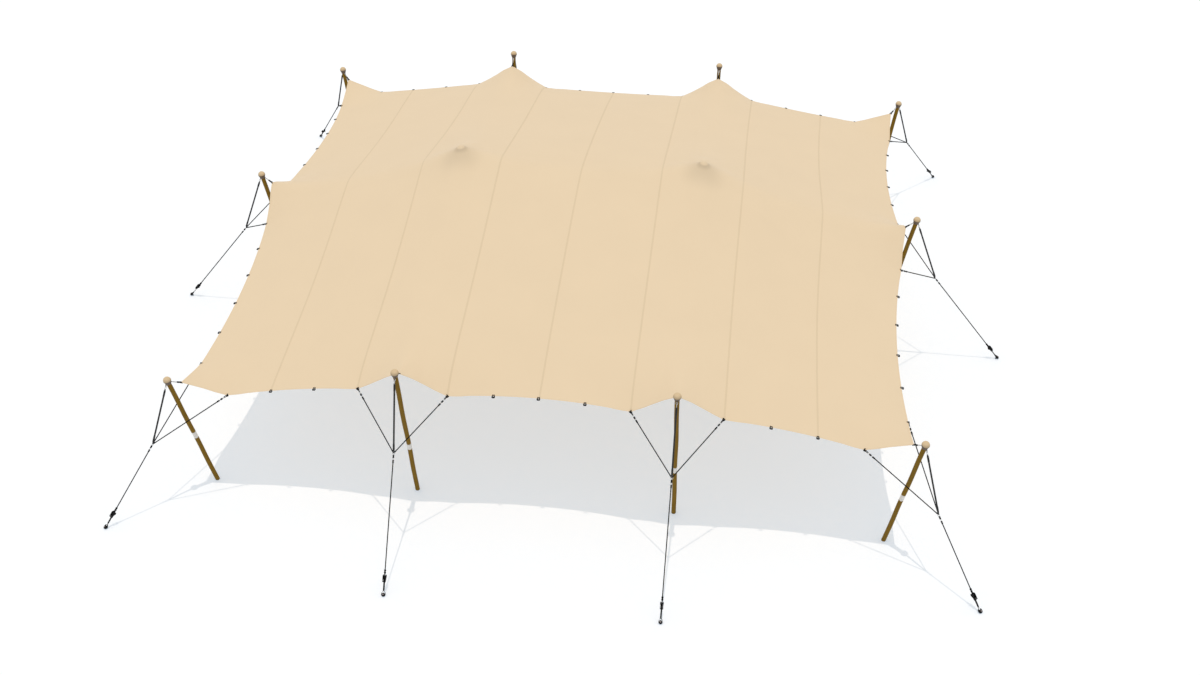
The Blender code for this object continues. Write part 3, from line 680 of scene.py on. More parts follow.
def stitch_tree():
    """Stitches that go right through the cloth, spaced along a path."""
    sizes = dict.fromkeys(("Pitch", "Length", "Width", "Depth"), "Float")
    tree, given = geometry_tree("Stitching", {**sizes, "Finish": "Material"})
    path = faced_path(tree, given["Geometry"])
    steps = {"Curve": path, "Length": given["Pitch"]}
    spots = add(tree, "GeometryNodeCurveToPoints", steps, mode="LENGTH")
    half = add(tree, "ShaderNodeMath", {0: given["Length"], 1: 0.5}, operation="MULTIPLY").outputs[0]
    back = add(tree, "ShaderNodeMath", {0: half, 1: -1.0}, operation="MULTIPLY").outputs[0]
    ends = [add(tree, "ShaderNodeCombineXYZ", {"Z": end}).outputs[0] for end in (back, half)]
    line = add(tree, "GeometryNodeCurvePrimitiveLine", {"Start": ends[0], "End": ends[1]})
    sides = {"Width": given["Depth"], "Height": given["Width"]}
    section = add(tree, "GeometryNodeCurvePrimitiveQuadrilateral", sides)
    stitch = mapped_along(tree, line.outputs[0], section.outputs[0])
    copies = add(
        tree,
        "GeometryNodeInstanceOnPoints",
        {"Points": spots.outputs["Points"], "Instance": stitch, "Rotation": spots.outputs["Rotation"]},
    )
    return end_tree(tree, copies.outputs[0], given["Finish"])


def copies_tree():
    """Copies of one shape on points, its X turned along the attribute direction and its Z towards up."""
    tree, given = geometry_tree("Copies on points", {"Shape": "Object", "Finish": "Material"})
    shape = add(tree, "GeometryNodeObjectInfo", {"Object": given["Shape"]}).outputs["Geometry"]
    axes = [
        add(tree, "GeometryNodeInputNamedAttribute", {"Name": name}, data_type="FLOAT_VECTOR").outputs[0]
        for name in ("direction", "up")
    ]
    turn = add(
        tree,
        "FunctionNodeAxesToRotation",
        {"Primary Axis": axes[0], "Secondary Axis": axes[1]},
        primary_axis="X",
        secondary_axis="Z",
    )
    spots = add(tree, "GeometryNodeMeshToPoints", {"Mesh": given["Geometry"]})
    copies = add(
        tree,
        "GeometryNodeInstanceOnPoints",
        {"Points": spots.outputs[0], "Instance": shape, "Rotation": turn.outputs[0]},
    )
    return end_tree(tree, copies.outputs[0], given["Finish"])


def tree_of(name, maker):
    """The geometry tree of this name, made the first time that it is asked for."""
    return bpy.data.node_groups.get(name) or maker()


def new_object(name, data):
    """A new object of this data, in the scene."""
    made = bpy.data.objects.new(name, data)
    bpy.context.scene.collection.objects.link(made)
    return made


def plain_mesh(holder):
    """The mesh that an object evaluates to. The object is removed."""
    depsgraph = bpy.context.evaluated_depsgraph_get()
    mesh = bpy.data.meshes.new_from_object(holder.evaluated_get(depsgraph))
    bpy.data.objects.remove(holder, do_unlink=True)
    return mesh


def grown(data, tree, **inputs):
    """The plain mesh that a geometry tree makes of a mesh. Spaces in inputs' names are written as _."""
    holder = new_object("holder", data)
    step = holder.modifiers.new("tree", "NODES")
    step.node_group = tree
    for item in tree.interface.items_tree:
        key = item.name.replace(" ", "_")
        if item.in_out == "INPUT" and key in inputs:
            step[item.identifier] = inputs[key]
    return plain_mesh(holder)


def path_mesh(lines, directions=None):
    """Lines of (point, up) for a geometry tree to follow, or loose points with these directions."""
    points, ups, edges = [], [], []
    for line in lines:
        first = len(points)
        points += [tuple(point) for point, _ in line]
        ups += [tuple(up) for _, up in line]
        if directions is None:
            edges += [(k, k + 1) for k in range(first, len(points) - 1)]
    mesh = bpy.data.meshes.new("path")
    mesh.from_pydata(points, edges, [])
    vectors = {"up": ups}
    if directions is not None:
        vectors["direction"] = directions
    for name, values in vectors.items():
        layer = mesh.attributes.new(name, "FLOAT_VECTOR", "POINT")
        layer.data.foreach_set("vector", np.array([tuple(v) for v in values], "f").ravel())
    return mesh


def rope(points, radius=None):
    """A laid rope through these points."""
    lines = bpy.context.scene.tent_lines
    path = path_mesh([[(point, UPRIGHT) for point in points]])
    return grown(
        path,
        tree_of("Laid rope", rope_tree),
        Radius=radius or lines.rope_radius,
        Lay_length=lines.lay_length,
        Strands=ROPE_STRANDS,
        Step=ROPE_STEP,
        Finish=finish_of("three-strand rope"),
    )


def webbing(line, width=None):
    """Flat black webbing along a line of (point, up)."""
    lines = bpy.context.scene.tent_lines
    return grown(
        path_mesh([line]),
        tree_of("Flat webbing", web_tree),
        Width=width or lines.webbing_width,
        Thickness=lines.webbing_thickness,
        Finish=finish_of("black strap"),
    )


def skin(rings, finish, at=None, looped=False):
    """A closed skin through a row of rings of points, its UV map in metres round and along it."""
    rings = np.array(rings, float)
    count, sides = rings.shape[:2]
    girth = np.linalg.norm(rings - np.roll(rings, 1, axis=1), axis=2).max() * sides
    steps = np.linalg.norm(rings - np.roll(rings, -1, axis=0), axis=2).max(axis=1)
    along = np.concatenate([[0.0], np.cumsum(steps)])
    faces, corners = [], []
    for ring in range(count if looped else count - 1):
        here, after = ring * sides, (ring + 1) % count * sides
        for k in range(sides):
            near = (k + 1) % sides
            faces.append((here + k, here + near, after + near, after + k))
            for u, v in ((k, ring), (k + 1, ring), (k + 1, ring + 1), (k, ring + 1)):
                corners.append((u * girth / sides, along[v]))
    if not looped:
        for ring in (0, count - 1):
            if np.ptp(rings[ring], axis=0).max() > 1e-6:
                faces.append(tuple(range(ring * sides, (ring + 1) * sides)))
                corners += [(girth * k / sides, along[ring]) for k in range(sides)]
    mesh = bpy.data.meshes.new("skin")
    mesh.from_pydata(rings.reshape(-1, 3).tolist(), [], faces)
    mesh.uv_layers.new(name="UVMap").data.foreach_set("uv", np.array(corners, "f").ravel())
    mesh.materials.append(finish_of(finish))
    return closed(mesh, at)


def closed(mesh, at=None):
    """The mesh with doubled points merged and its faces turned outwards, put in place by a matrix."""
    shape = bmesh.new()
    shape.from_mesh(mesh)
    bmesh.ops.remove_doubles(shape, verts=shape.verts, dist=1e-6)
    bmesh.ops.recalc_face_normals(shape, faces=shape.faces)
    shape.to_mesh(mesh)
    shape.free()
    if at is not None:
        mesh.transform(at)
    return mesh


def turned(profile, finish, at=None, sides=24, axis="X"):
    """A closed shape turned about an axis through the origin. The profile lists (along, radius)."""
    angles = np.arange(sides) * math.tau / sides
    rings = [[(x, r * math.cos(a), r * math.sin(a)) for a in angles] for x, r in profile]
    turn = Matrix.Rotation(math.pi / 2, 4, "Z") if axis == "Y" else Matrix.Identity(4)
    return skin(rings, finish, (at or Matrix.Identity(4)) @ turn)


def swept(path, radius, finish, at=None, looped=False, sides=8, flat=1.0):
    """A round bar along a path in the XY plane, flattened along Z to a share."""
    path, up = np.array(path, float), np.array(UPRIGHT)
    ahead = np.roll(path, -1, axis=0) - np.roll(path, 1, axis=0)
    if not looped:
        ahead[0], ahead[-1] = path[1] - path[0], path[-1] - path[-2]
    side = np.cross(up, ahead)
    side /= np.linalg.norm(side, axis=1, keepdims=True)
    angles = np.arange(sides) * math.tau / sides + math.pi / sides
    rings = [
        [point + radius * (math.cos(a) * out + flat * math.sin(a) * up) for a in angles]
        for point, out in zip(path, side)
    ]
    return skin(rings, finish, at, looped)


def link(length, width, wire, finish, at):
    """A long closed link from the origin along X, lying in XY, of round wire of this radius."""
    end = width / 2 - wire
    path = []
    for middle, first in ((length - width / 2, -90), (width / 2, 90)):
        for angle in np.radians(np.linspace(first, first + 180, LINK_STEPS)):
            path.append((middle + end * math.cos(angle), end * math.sin(angle), 0.0))
    return swept(path, wire, finish, at, looped=True)


def plate(outlines, low, high, edge, finish, at):
    """A flat plate with softened edges between two heights along Y, its outline and holes in (X, Z)."""
    curve = bpy.data.curves.new("plate", "CURVE")
    curve.dimensions = "2D"
    curve.fill_mode = "BOTH"
    curve.extrude = (high - low) / 2 - edge
    curve.bevel_depth = edge
    curve.bevel_resolution = 0
    curve.offset = -edge
    for outline in outlines:
        spline = curve.splines.new("POLY")
        spline.points.add(len(outline) - 1)
        spline.points.foreach_set("co", [part for x, z in outline for part in (x, z, 0.0, 1.0)])
        spline.use_cyclic_u = True
    mesh = plain_mesh(new_object("holder", curve))
    mesh.materials.clear()
    mesh.materials.append(finish_of(finish))
    stand = Matrix.Translation((0, (low + high) / 2, 0)) @ Matrix.Rotation(math.pi / 2, 4, "X")
    return closed(mesh, at @ stand)


def arc(centre, radius, first, last, count):
    """Points of an arc in a plane, from one angle in degrees to another."""
    angles = np.radians(np.linspace(first, last, count))
    return [(centre[0] + radius * math.cos(a), centre[1] + radius * math.sin(a)) for a in angles]


def gathered(meshes):
    """One mesh of several, each part with its own finish."""
    whole = bmesh.new()
    finishes = []
    for mesh in meshes:
        first = len(whole.faces)
        whole.from_mesh(mesh)
        whole.faces.ensure_lookup_table()
        for part in mesh.materials:
            if part not in finishes:
                finishes.append(part)
        places = [finishes.index(part) for part in mesh.materials]
        for face in whole.faces[first:]:
            face.material_index = places[face.material_index]
    made = bpy.data.meshes.new("gathered")
    whole.to_mesh(made)
    whole.free()
    for part in finishes:
        made.materials.append(part)
    return made


def mirrored(mesh, signs):
    """A copy of a mesh of the quarter with x and y positive, in the quarter of these signs."""
    copy = mesh.copy()
    copy.transform(Matrix.Diagonal((signs[0], signs[1], 1, 1)))
    if signs[0] * signs[1] < 0:
        copy.flip_normals()
    return copy


def aimed(start, ahead):
    """A matrix at a point whose X runs ahead, whose Y is level and whose Z faces up as far as it can."""
    x = Vector(ahead).normalized()
    level = Vector(UPRIGHT).cross(x)
    y = level.normalized() if level.length > 1e-9 else Vector((0.0, 1.0, 0.0))
    return Matrix.Translation(start) @ Matrix((x, y, x.cross(y))).transposed().to_4x4()


def shifted(at, along, roll=0.0):
    """A place moved along the X of a matrix and rolled about it by an angle in degrees."""
    return at @ Matrix.Translation((along, 0, 0)) @ Matrix.Rotation(math.radians(roll), 4, "X")


def show(name, mesh, body, nodes=()):
    """Adds a finished mesh as a piece that rides on a body and stands for these nodes."""
    mesh.name = name
    mesh.shade_smooth()
    mesh.set_sharp_from_angle(angle=SHARP_ANGLE)
    piece = new_object(name, mesh)
    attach(piece, body)
    if nodes:
        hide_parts(*nodes)
    return piece


def show_copies(kind, look, place, node, body=None):
    """Shows a mesh at each copy of its place, on the tent or on the copy's own body."""
    for name, signs in place["copies"].items():
        rides_on = body + name if body else "tent"
        show(kind + name, mirrored(look, signs), rides_on, [node + name])


def held_nodes():
    """Row, column, place and signs of each node of the net that is held, in all quarters."""
    for pitches_x, pitches_y, place in HELD_PLACES:
        for sign_x in (-1, 1):
            for sign_y in (-1, 1) if pitches_y else (1,):
                row = ROWS // 2 + sign_y * pitches_y * CELLS_PER_PITCH
                column = COLUMNS // 2 + sign_x * pitches_x * CELLS_PER_PITCH
                yield row, column, place, (sign_x, sign_y, 1)


def tensioned_net():
    """The canopy's middle surface as rows of points from front to back, pulled into balance.

    Threads run both ways and pull in proportion to their length, hardest in the hems and in bands along
    the ridge and over the inner poles.
    """
    index = np.arange((ROWS + 1) * (COLUMNS + 1)).reshape(ROWS + 1, COLUMNS + 1)
    held = {index[row, column]: np.multiply(place, signs) for row, column, place, signs in held_nodes()}
    from_ridge = (np.arange(ROWS + 1) - ROWS / 2) * CELL
    across = 1 + RIDGE_PULL * np.exp(-((from_ridge / PULL_BAND) ** 2))
    across[[0, ROWS]] = END_HEM_PULL
    from_pole_line = abs(np.arange(COLUMNS + 1) - COLUMNS / 2) * CELL - INNER_PEAK[0]
    along = 1 + POLE_LINE_PULL * np.exp(-((from_pole_line / PULL_BAND) ** 2))
    along[[0, COLUMNS]] = SIDE_HEM_PULL
    pull = np.zeros((index.size, index.size))
    ties = (
        (index[:, :-1], index[:, 1:], np.repeat(across[:, None], COLUMNS, axis=1)),
        (index[:-1, :], index[1:, :], np.repeat(along[None, :], ROWS, axis=0)),
    )
    for one, other, strength in ties:
        one, other, strength = one.ravel(), other.ravel(), strength.ravel()
        np.add.at(pull, (one, one), strength)
        np.add.at(pull, (other, other), strength)
        np.add.at(pull, (one, other), -strength)
        np.add.at(pull, (other, one), -strength)
    fixed = np.array(sorted(held))
    free = np.setdiff1d(np.arange(index.size), fixed)
    points = np.zeros((index.size, 3))
    points[fixed] = [held[k] for k in fixed]
    loads = -pull[np.ix_(free, fixed)] @ points[fixed]
    points[free] = np.linalg.solve(pull[np.ix_(free, free)], loads)
    return points.reshape(ROWS + 1, COLUMNS + 1, 3)


def between(values, at, axis, smooth):
    """Values at fractional places along an axis, on cubic curves or straight lines through the nodes."""
    values = np.moveaxis(values, axis, 0)
    ends = np.concatenate([[2 * values[0] - values[1]], values, [2 * values[-1] - values[-2]]])
    low = np.clip(np.floor(at).astype(int), 0, len(values) - 2)
    share = (at - low).reshape(-1, 1, 1)
    a, b, c, d = (ends[low + k] for k in range(4))
    if smooth:
        curl = 2 * a - 5 * b + 4 * c - d + share * (3 * (b - c) + d - a)
        found = b + 0.5 * share * (c - a + share * curl)
    else:
        found = b + share * (c - b)
    return np.moveaxis(found, 0, axis)


class Cloth:
    """The canopy's middle surface between the nodes of the net."""

    def __init__(self):
        self.net = tensioned_net()
        self.kinks = []
        for row, column, place, _ in held_nodes():
            if place != INNER_PEAK:
                self.kinks.append((row, column))
                continue
            rises = []
            for step_row, step_column in ((0, 1), (0, -1), (1, 0), (-1, 0)):
                near = self.net[row + step_row, column + step_column, 2]
                far = self.net[row + 2 * step_row, column + 2 * step_column, 2]
                rises.append(near + (near - far) / 3)
            self.net[row, column, 2] = np.mean(rises)
            self.shoulder = self.net[row, column, 2]

    def points(self, columns, rows):
        """Points at these fractional columns and rows: smooth, but creased where a tip or guy pulls."""
        columns, rows = np.atleast_1d(columns).astype(float), np.atleast_1d(rows).astype(float)
        smooth, straight = (
            between(between(self.net, rows, 0, kind), columns, 1, kind) for kind in (True, False)
        )
        away = [
            np.maximum(abs(rows[:, None] - row), abs(columns - column)) for row, column in self.kinks
        ]
        near = np.clip(1 - np.min(away, axis=0), 0, 1)
        points = smooth + (near * near * (3 - 2 * near))[..., None] * (straight - smooth)
        points[..., 2] += self.lift(points)
        return points

    def lift(self, points):
        """How far the two inner balls push the cloth up: a round cap, then a flank that runs out."""
        out = np.hypot(abs(points[..., 0]) - INNER_PEAK[0], points[..., 1])
        radius = BALL_RADIUS + BALL_COVER
        edge = radius * math.sin(CAP_ANGLE)
        cap = np.sqrt(np.maximum(radius**2 - out**2, 0)) + INNER_BALL_CENTRE - self.shoulder
        flank_height = radius * math.cos(CAP_ANGLE) + INNER_BALL_CENTRE - self.shoulder
        flank = flank_height * np.exp(-(out - edge) * math.tan(CAP_ANGLE) / flank_height)
        return np.where(out < edge, cap, flank)

    def normals(self, columns, rows):
        """Unit normals facing up at these fractional columns and rows."""
        step = NORMAL_STEP
        columns, rows = np.atleast_1d(columns).astype(float), np.atleast_1d(rows).astype(float)
        low_columns, high_columns = np.maximum(columns - step, 0), np.minimum(columns + step, COLUMNS)
        low_rows, high_rows = np.maximum(rows - step, 0), np.minimum(rows + step, ROWS)
        across = self.points(high_columns, rows) - self.points(low_columns, rows)
        along = self.points(columns, high_rows) - self.points(columns, low_rows)
        found = np.cross(across, along)
        return found / np.linalg.norm(found, axis=2, keepdims=True)


def cloth_lines(count, peaks, seams):
    """Fractional lines across the net, crowded towards the peaks and doubled beside seams and hems."""
    lines = set()
    for cell in range(count):
        steps = CLOTH_STEPS
        crowding = 1.0
        if cell in peaks or cell + 1 in peaks:
            steps, crowding = PEAK_STEPS, PEAK_CROWDING
        for k in range(steps + 1):
            share = (k / steps) ** crowding
            lines.add(round(cell + (1 - share if cell + 1 in peaks else share), 6))
    half_seam = bpy.context.scene.tent_cloth.seam_width / 2 / CELL
    edges = [seam + side * half_seam for seam in seams for side in (-1, 1)]
    outer = [seam + side * (half_seam + TAPE_STEP) for seam in seams for side in (-1, 1)]
    edges += [HEM_WIDTH / CELL, count - HEM_WIDTH / CELL]
    outer += [HEM_WIDTH / CELL + TAPE_STEP, count - HEM_WIDTH / CELL - TAPE_STEP]
    return np.array(sorted(lines | set(edges) | set(outer)))


def in_seam(columns, rows, hem=True):
    """Where these fractional columns and rows lie in a seam, or in the hem too."""
    margin = TAPE_STEP / 3
    half_seam = bpy.context.scene.tent_cloth.seam_width / 2 / CELL + margin
    seam = np.min([abs(columns - seam) for seam in SEAM_COLUMNS], axis=0) <= half_seam
    hem = HEM_WIDTH / CELL + margin if hem else -1.0
    across = seam | (columns <= hem) | (columns >= COLUMNS - hem)
    along = (rows <= hem) | (rows >= ROWS - hem)
    return along[:, None] | across[None, :]


def canopy_mesh(cloth):
    """The whole cloth as one closed sheet, thicker in its seams and hem."""
    settings = bpy.context.scene.tent_cloth
    peak_column = INNER_PEAK[0] / CELL
    columns = cloth_lines(COLUMNS, (COLUMNS / 2 - peak_column, COLUMNS / 2 + peak_column), SEAM_COLUMNS)
    rows = cloth_lines(ROWS, (ROWS / 2,), ())
    middle = cloth.points(columns, rows)
    normals = cloth.normals(columns, rows)
    sewn = in_seam(columns, rows)
    half = np.where(sewn, settings.seam_thickness, settings.thickness)[..., None] / 2
    corners = np.stack([middle + normals * half, middle - normals * half]).reshape(-1, 3)
    row_count, column_count = len(rows), len(columns)
    index = np.arange(row_count * column_count).reshape(row_count, column_count)
    top = np.stack([index[:-1, :-1], index[:-1, 1:], index[1:, 1:], index[1:, :-1]], axis=-1)
    top = top.reshape(-1, 4)
    under = top[:, ::-1] + index.size
    rim = np.concatenate([index[0, :-1], index[:-1, -1], index[-1, :0:-1], index[:0:-1, 0]])
    ahead = np.roll(rim, -1)
    sides = np.stack([rim, rim + index.size, ahead + index.size, ahead], axis=-1)
    faces = np.concatenate([top, under, sides])
    mesh = bpy.data.meshes.new("canopy")
    mesh.from_pydata(corners.tolist(), [], faces.tolist())
    flat = np.stack(np.broadcast_arrays(columns[None, :], rows[:, None]), axis=-1).reshape(-1, 2) * CELL
    flat = np.tile(flat, (2, 1))
    mesh.uv_layers.new(name="UVMap").data.foreach_set("uv", flat[faces.ravel()].astype("f").ravel())
    mesh.materials.append(finish_of("coated stretch knit"))
    mesh.materials.append(finish_of("seam tape"))
    taped = in_seam(columns, rows, hem=False).ravel()[top].all(axis=1)
    indexes = np.concatenate([taped, taped, np.zeros(len(sides), bool)]).astype(np.int32)
    mesh.polygons.foreach_set("material_index", indexes)
    return mesh


def sewing_lines(cloth):
    """Two lines of stitches along each seam and one along the hem, as (point, up)."""
    offset = bpy.context.scene.tent_cloth.seam_width / 3 / CELL
    inner = HEM_WIDTH * 0.8 / CELL
    rows = np.linspace(inner, ROWS - inner, ROWS * CLOTH_STEPS)
    columns = np.linspace(inner, COLUMNS - inner, COLUMNS * CLOTH_STEPS)
    sewn_columns = [seam + side * offset for seam in SEAM_COLUMNS for side in (-1, 1)]
    runs = [(column, rows) for column in (*sewn_columns, inner, COLUMNS - inner)]
    runs += [(columns, row) for row in (inner, ROWS - inner)]
    return [
        list(zip(cloth.points(*run).reshape(-1, 3), cloth.normals(*run).reshape(-1, 3))) for run in runs
    ]


def beside_pole(place, down, out):
    """A point this far down a pole from its ball's centre, and out of its axis towards the junction."""
    ball = Vector(place["ball"])
    up_pole = (ball - Vector(place["foot"])).normalized()
    on_axis = ball - up_pole * down
    towards = Vector(place["junction"]) - on_axis
    return on_axis + (towards - up_pole * towards.dot(up_pole)).normalized() * out


def stay_line(place):
    """The hole in the collar's ear, and the unit vector from there along the stay."""
    ear = beside_pole(place, EAR_DOWN, EAR_OUT)
    return ear, (Vector(place["junction"]) - ear).normalized()


def line_frame(place):
    """A matrix for the line from stake to junction: X runs up it, Y is level and Z faces up and out."""
    origin = Vector((*place["stake"], STRAP_HEIGHT))
    return aimed(origin, Vector(place["junction"]) - origin)


def node_at(net, point):
    """Row and column of the net's node that is nearest to a point."""
    distance = np.linalg.norm(net - np.array(point), axis=2)
    return tuple(int(k) for k in np.unravel_index(distance.argmin(), distance.shape))


def hem_places(cloth):
    """The root and direction of the loop at each pitch of the hem, by its node, and which are pulled."""
    net = cloth.net
    roots, directions, pulled = {}, {}, set()
    for row in range(0, ROWS + 1, CELLS_PER_PITCH):
        for column in range(0, COLUMNS + 1, CELLS_PER_PITCH):
            if row not in (0, ROWS) and column not in (0, COLUMNS):
                continue
            inner = (min(max(row, 1), ROWS - 1), min(max(column, 1), COLUMNS - 1))
            directions[row, column] = Vector(net[row, column] - net[inner]).normalized()
            roots[row, column] = Vector(net[row, column])
            if column in STRIP_SEAMS and row in (0, ROWS):
                to_pole = 1 if column < COLUMNS / 2 else -1
                along_hem = Vector(net[row, column + to_pole] - net[row, column]).normalized()
                roots[row, column] += along_hem * LOOP_WIDTH / 2
    for place in EDGE_PLACES.values():
        targets = [(guy, Vector(place["junction"])) for guy in place["guys"]]
        for point, target in [*targets, (place["tip"], beside_pole(place, TIP_LUG, 0.0))]:
            direction = (target - roots[node_at(net, point)]).normalized()
            for signs in place["copies"].values():
                mirror = Matrix.Diagonal((*signs, 1))
                node = node_at(net, mirror @ Vector(point))
                directions[node] = mirror @ direction
                pulled.add(node)
    return roots, directions, pulled


def slack_loop(outline):
    """A flattened cord loop in the XY plane through an outline of (out, along the hem) for one side."""
    path = [(x, -y, 0.0) for x, y in outline] + [(x, y, 0.0) for x, y in reversed(outline) if y > 0]
    fine = np.linspace(0, len(path) - 1, 3 * len(path))
    smooth = between(np.array(path)[:, None, :], fine, 0, True)[:, 0]
    return swept(smooth, LOOP_CORD_RADIUS, "black loop cord", flat=0.6)


def sewn_tab(outline):
    """A tab of webbing folded over the hem, of an outline of (out, along the hem) for one side."""
    whole = [(x, -y) for x, y in outline] + [(x, y) for x, y in reversed(outline)]
    lying = Matrix.Rotation(-math.pi / 2, 4, "X")
    half, edge = TAB_HALF_THICKNESS, TAB_HALF_THICKNESS / 2
    flat = plate((whole,), -half, half, edge, "black strap", lying)
    fold = [(outline[-1][0] - edge, y, 0.0) for y in (-0.016, 0.0, 0.016)]
    return gathered([flat, swept(fold, 0.0085, "black strap")])


def sewn_loops(cloth):
    """All the hem loops: slack ones spread in two lobes, and tabs where a guy or a pole pulls."""
    roots, directions, pulled = hem_places(cloth)
    meshes = []
    kinds = (
        (slack_loop(SLACK_OUTLINE), "black loop cord", [node for node in roots if node not in pulled]),
        (sewn_tab(TAB_OUTLINE), "black strap", [node for node in roots if node in pulled]),
    )
    for made, finish, nodes in kinds:
        shape = new_object("shape", made)
        spots = [(roots[row, column], cloth.normals(column, row)[0, 0]) for row, column in nodes]
        spots = path_mesh([spots], directions=[directions[node] for node in nodes])
        tree = tree_of("Copies on points", copies_tree)
        meshes.append(grown(spots, tree, Shape=shape, Finish=finish_of(finish)))
        bpy.data.objects.remove(shape, do_unlink=True)
    return gathered(meshes)


def marked_grain(mesh):
    """The mesh with its own coordinates kept in the attribute grain, along X."""
    layer = mesh.attributes.new("grain", "FLOAT_VECTOR", "POINT")
    places = np.zeros(3 * len(mesh.vertices), "f")
    mesh.vertices.foreach_get("co", places)
    layer.data.foreach_set("vector", places)
    return mesh


def on_floor(mesh, at, reach=0.05):
    """Cuts the low end of a leaning bar level with the ground by sliding its points along the bar."""
    ahead = at.to_3x3() @ Vector((1, 0, 0))
    for vertex in mesh.vertices:
        low = vertex.co.x
        vertex.co = at @ vertex.co
        if low < reach:
            vertex.co += ahead * ((low - vertex.co.z) / ahead.z)
    return mesh


def bent(mesh, at, length):
    """Gives a bar along X the slight double bend of a natural trunk, sideways in the world's X."""
    side = at.to_3x3().inverted() @ Vector((1.0, 0.0, 0.0))
    side.x = 0.0
    for vertex in mesh.vertices:
        share = min(max(vertex.co.x / length, 0.0), 1.0)
        sway = math.sin(2 * math.tau * share - POLE_BEND_PHASE) * math.sqrt(math.sin(math.pi * share))
        vertex.co += side * POLE_BEND * sway
    return mesh


def pole_look(foot, ball, sleeve_middle):
    """A timber pole in two halves on a sleeve, with the small swellings that a debarked trunk keeps."""
    foot, ball = Vector(foot), Vector(ball)
    at = aimed(foot, ball - foot)
    top = (ball - foot).length - COLLAR_BOTTOM - SEAT_GAP
    low, high = sleeve_middle - SLEEVE_LENGTH / 2, sleeve_middle + SLEEVE_LENGTH / 2
    rim, core, waist = POLE_RADIUS - 0.001, SLEEVE_RADIUS - 0.006, SLEEVE_RADIUS - 0.0015

    def swollen(places):
        waves = [math.sin(5.1 * x + 3 * foot.y) * math.sin(11.7 * x + foot.x) for x in places]
        return [(x, POLE_RADIUS - POLE_SWELL + POLE_SWELL * wave) for x, wave in zip(places, waves)]

    lower = [(0.0, POLE_RADIUS - 0.004), (0.004, rim), *swollen(np.linspace(0.012, low - 0.008, 12))]
    lower += [(low - 0.003, rim), (low, POLE_RADIUS - 0.004), (low, core)]
    upper = [(high, core), (high, POLE_RADIUS - 0.012)]
    for angle in (0.4, 0.8, 1.2):
        round_x, round_out = 0.012 - 0.012 * math.cos(angle), 0.012 * math.sin(angle)
        upper.append((high + round_x, POLE_RADIUS - 0.0125 + round_out))
    upper += [*swollen(np.linspace(high + 0.014, top - 0.006, 20)), (top - 0.002, rim)]
    upper.append((top, POLE_RADIUS - 0.003))
    sleeve = [(low - 0.01, waist), (low + 0.001, waist), (low + 0.003, SLEEVE_RADIUS)]
    sleeve += [(sleeve_middle - 0.004, SLEEVE_RADIUS), (sleeve_middle - 0.002, SLEEVE_RADIUS - 0.0008)]
    sleeve += [(2 * sleeve_middle - x, r) for x, r in reversed(sleeve)]
    lower, upper = (turned(profile, "oiled eucalyptus", sides=32) for profile in (lower, upper))
    lower, upper = marked_grain(lower), marked_grain(upper)
    sleeve = turned(sleeve, "powder-coated sleeve", sides=32)
    lower, sleeve, upper = (bent(part, at, top) for part in (lower, sleeve, upper))
    sleeve.transform(at)
    upper.transform(at)
    return gathered([on_floor(lower, at), sleeve, upper])


def head_look(at):
    """Ball and collar, along X from the ball's centre: a pressed cone that ends flush with the ball."""
    collar = [
        (-COLLAR_BOTTOM, 0.0),
        (-COLLAR_BOTTOM, 0.0402),
        (-0.0748, 0.0422),
        (-0.071, 0.0432),
        (-0.0685, 0.0428),
        (-0.066, 0.0442),
        (-0.016, 0.0626),
        (-0.008, 0.0654),
        (-0.004, 0.0664),
        (0.0, 0.0668),
        (0.002, 0.0662),
        (0.002, 0.0),
    ]
    band = [(-0.061, 0.0476), (-0.0595, 0.0488), (-0.0525, 0.0513), (-0.051, 0.0508)]
    slices = np.radians(np.linspace(-4, 86, 18))
    ball = [(BALL_RADIUS * math.sin(a), BALL_RADIUS * math.cos(a)) for a in slices]
    ball.append((BALL_RADIUS, 0.0))
    return [
        turned(collar, "weathered collar", at, sides=32),
        turned([(band[0][0], 0.0), *band, (band[-1][0], 0.0)], "weathered collar", at, sides=32),
        turned([(ball[0][0], 0.0), *ball], "bleached beech", at, sides=40),
    ]


def ear_plate(place):
    """The pointed ear with its hole, welded to the collar on the stay's side and hanging below it."""
    ball = Vector(place["ball"])
    up_pole = (ball - Vector(place["foot"])).normalized()
    out = (beside_pole(place, EAR_DOWN, EAR_OUT) - beside_pole(place, EAR_DOWN, 0.0)).normalized()
    at = Matrix.Translation(ball) @ Matrix((out, up_pole.cross(out), up_pole)).transposed().to_4x4()
    hole_centre = (EAR_OUT, -EAR_DOWN)
    hole = arc(hole_centre, 0.0052, 0, 330, 12)
    outline = [(0.044, -0.03), *arc(hole_centre, 0.0098, 10, -170, 12), (0.04, -0.07)]
    return plate((outline, hole), -0.003, 0.003, 0.0006, "weathered collar", at)


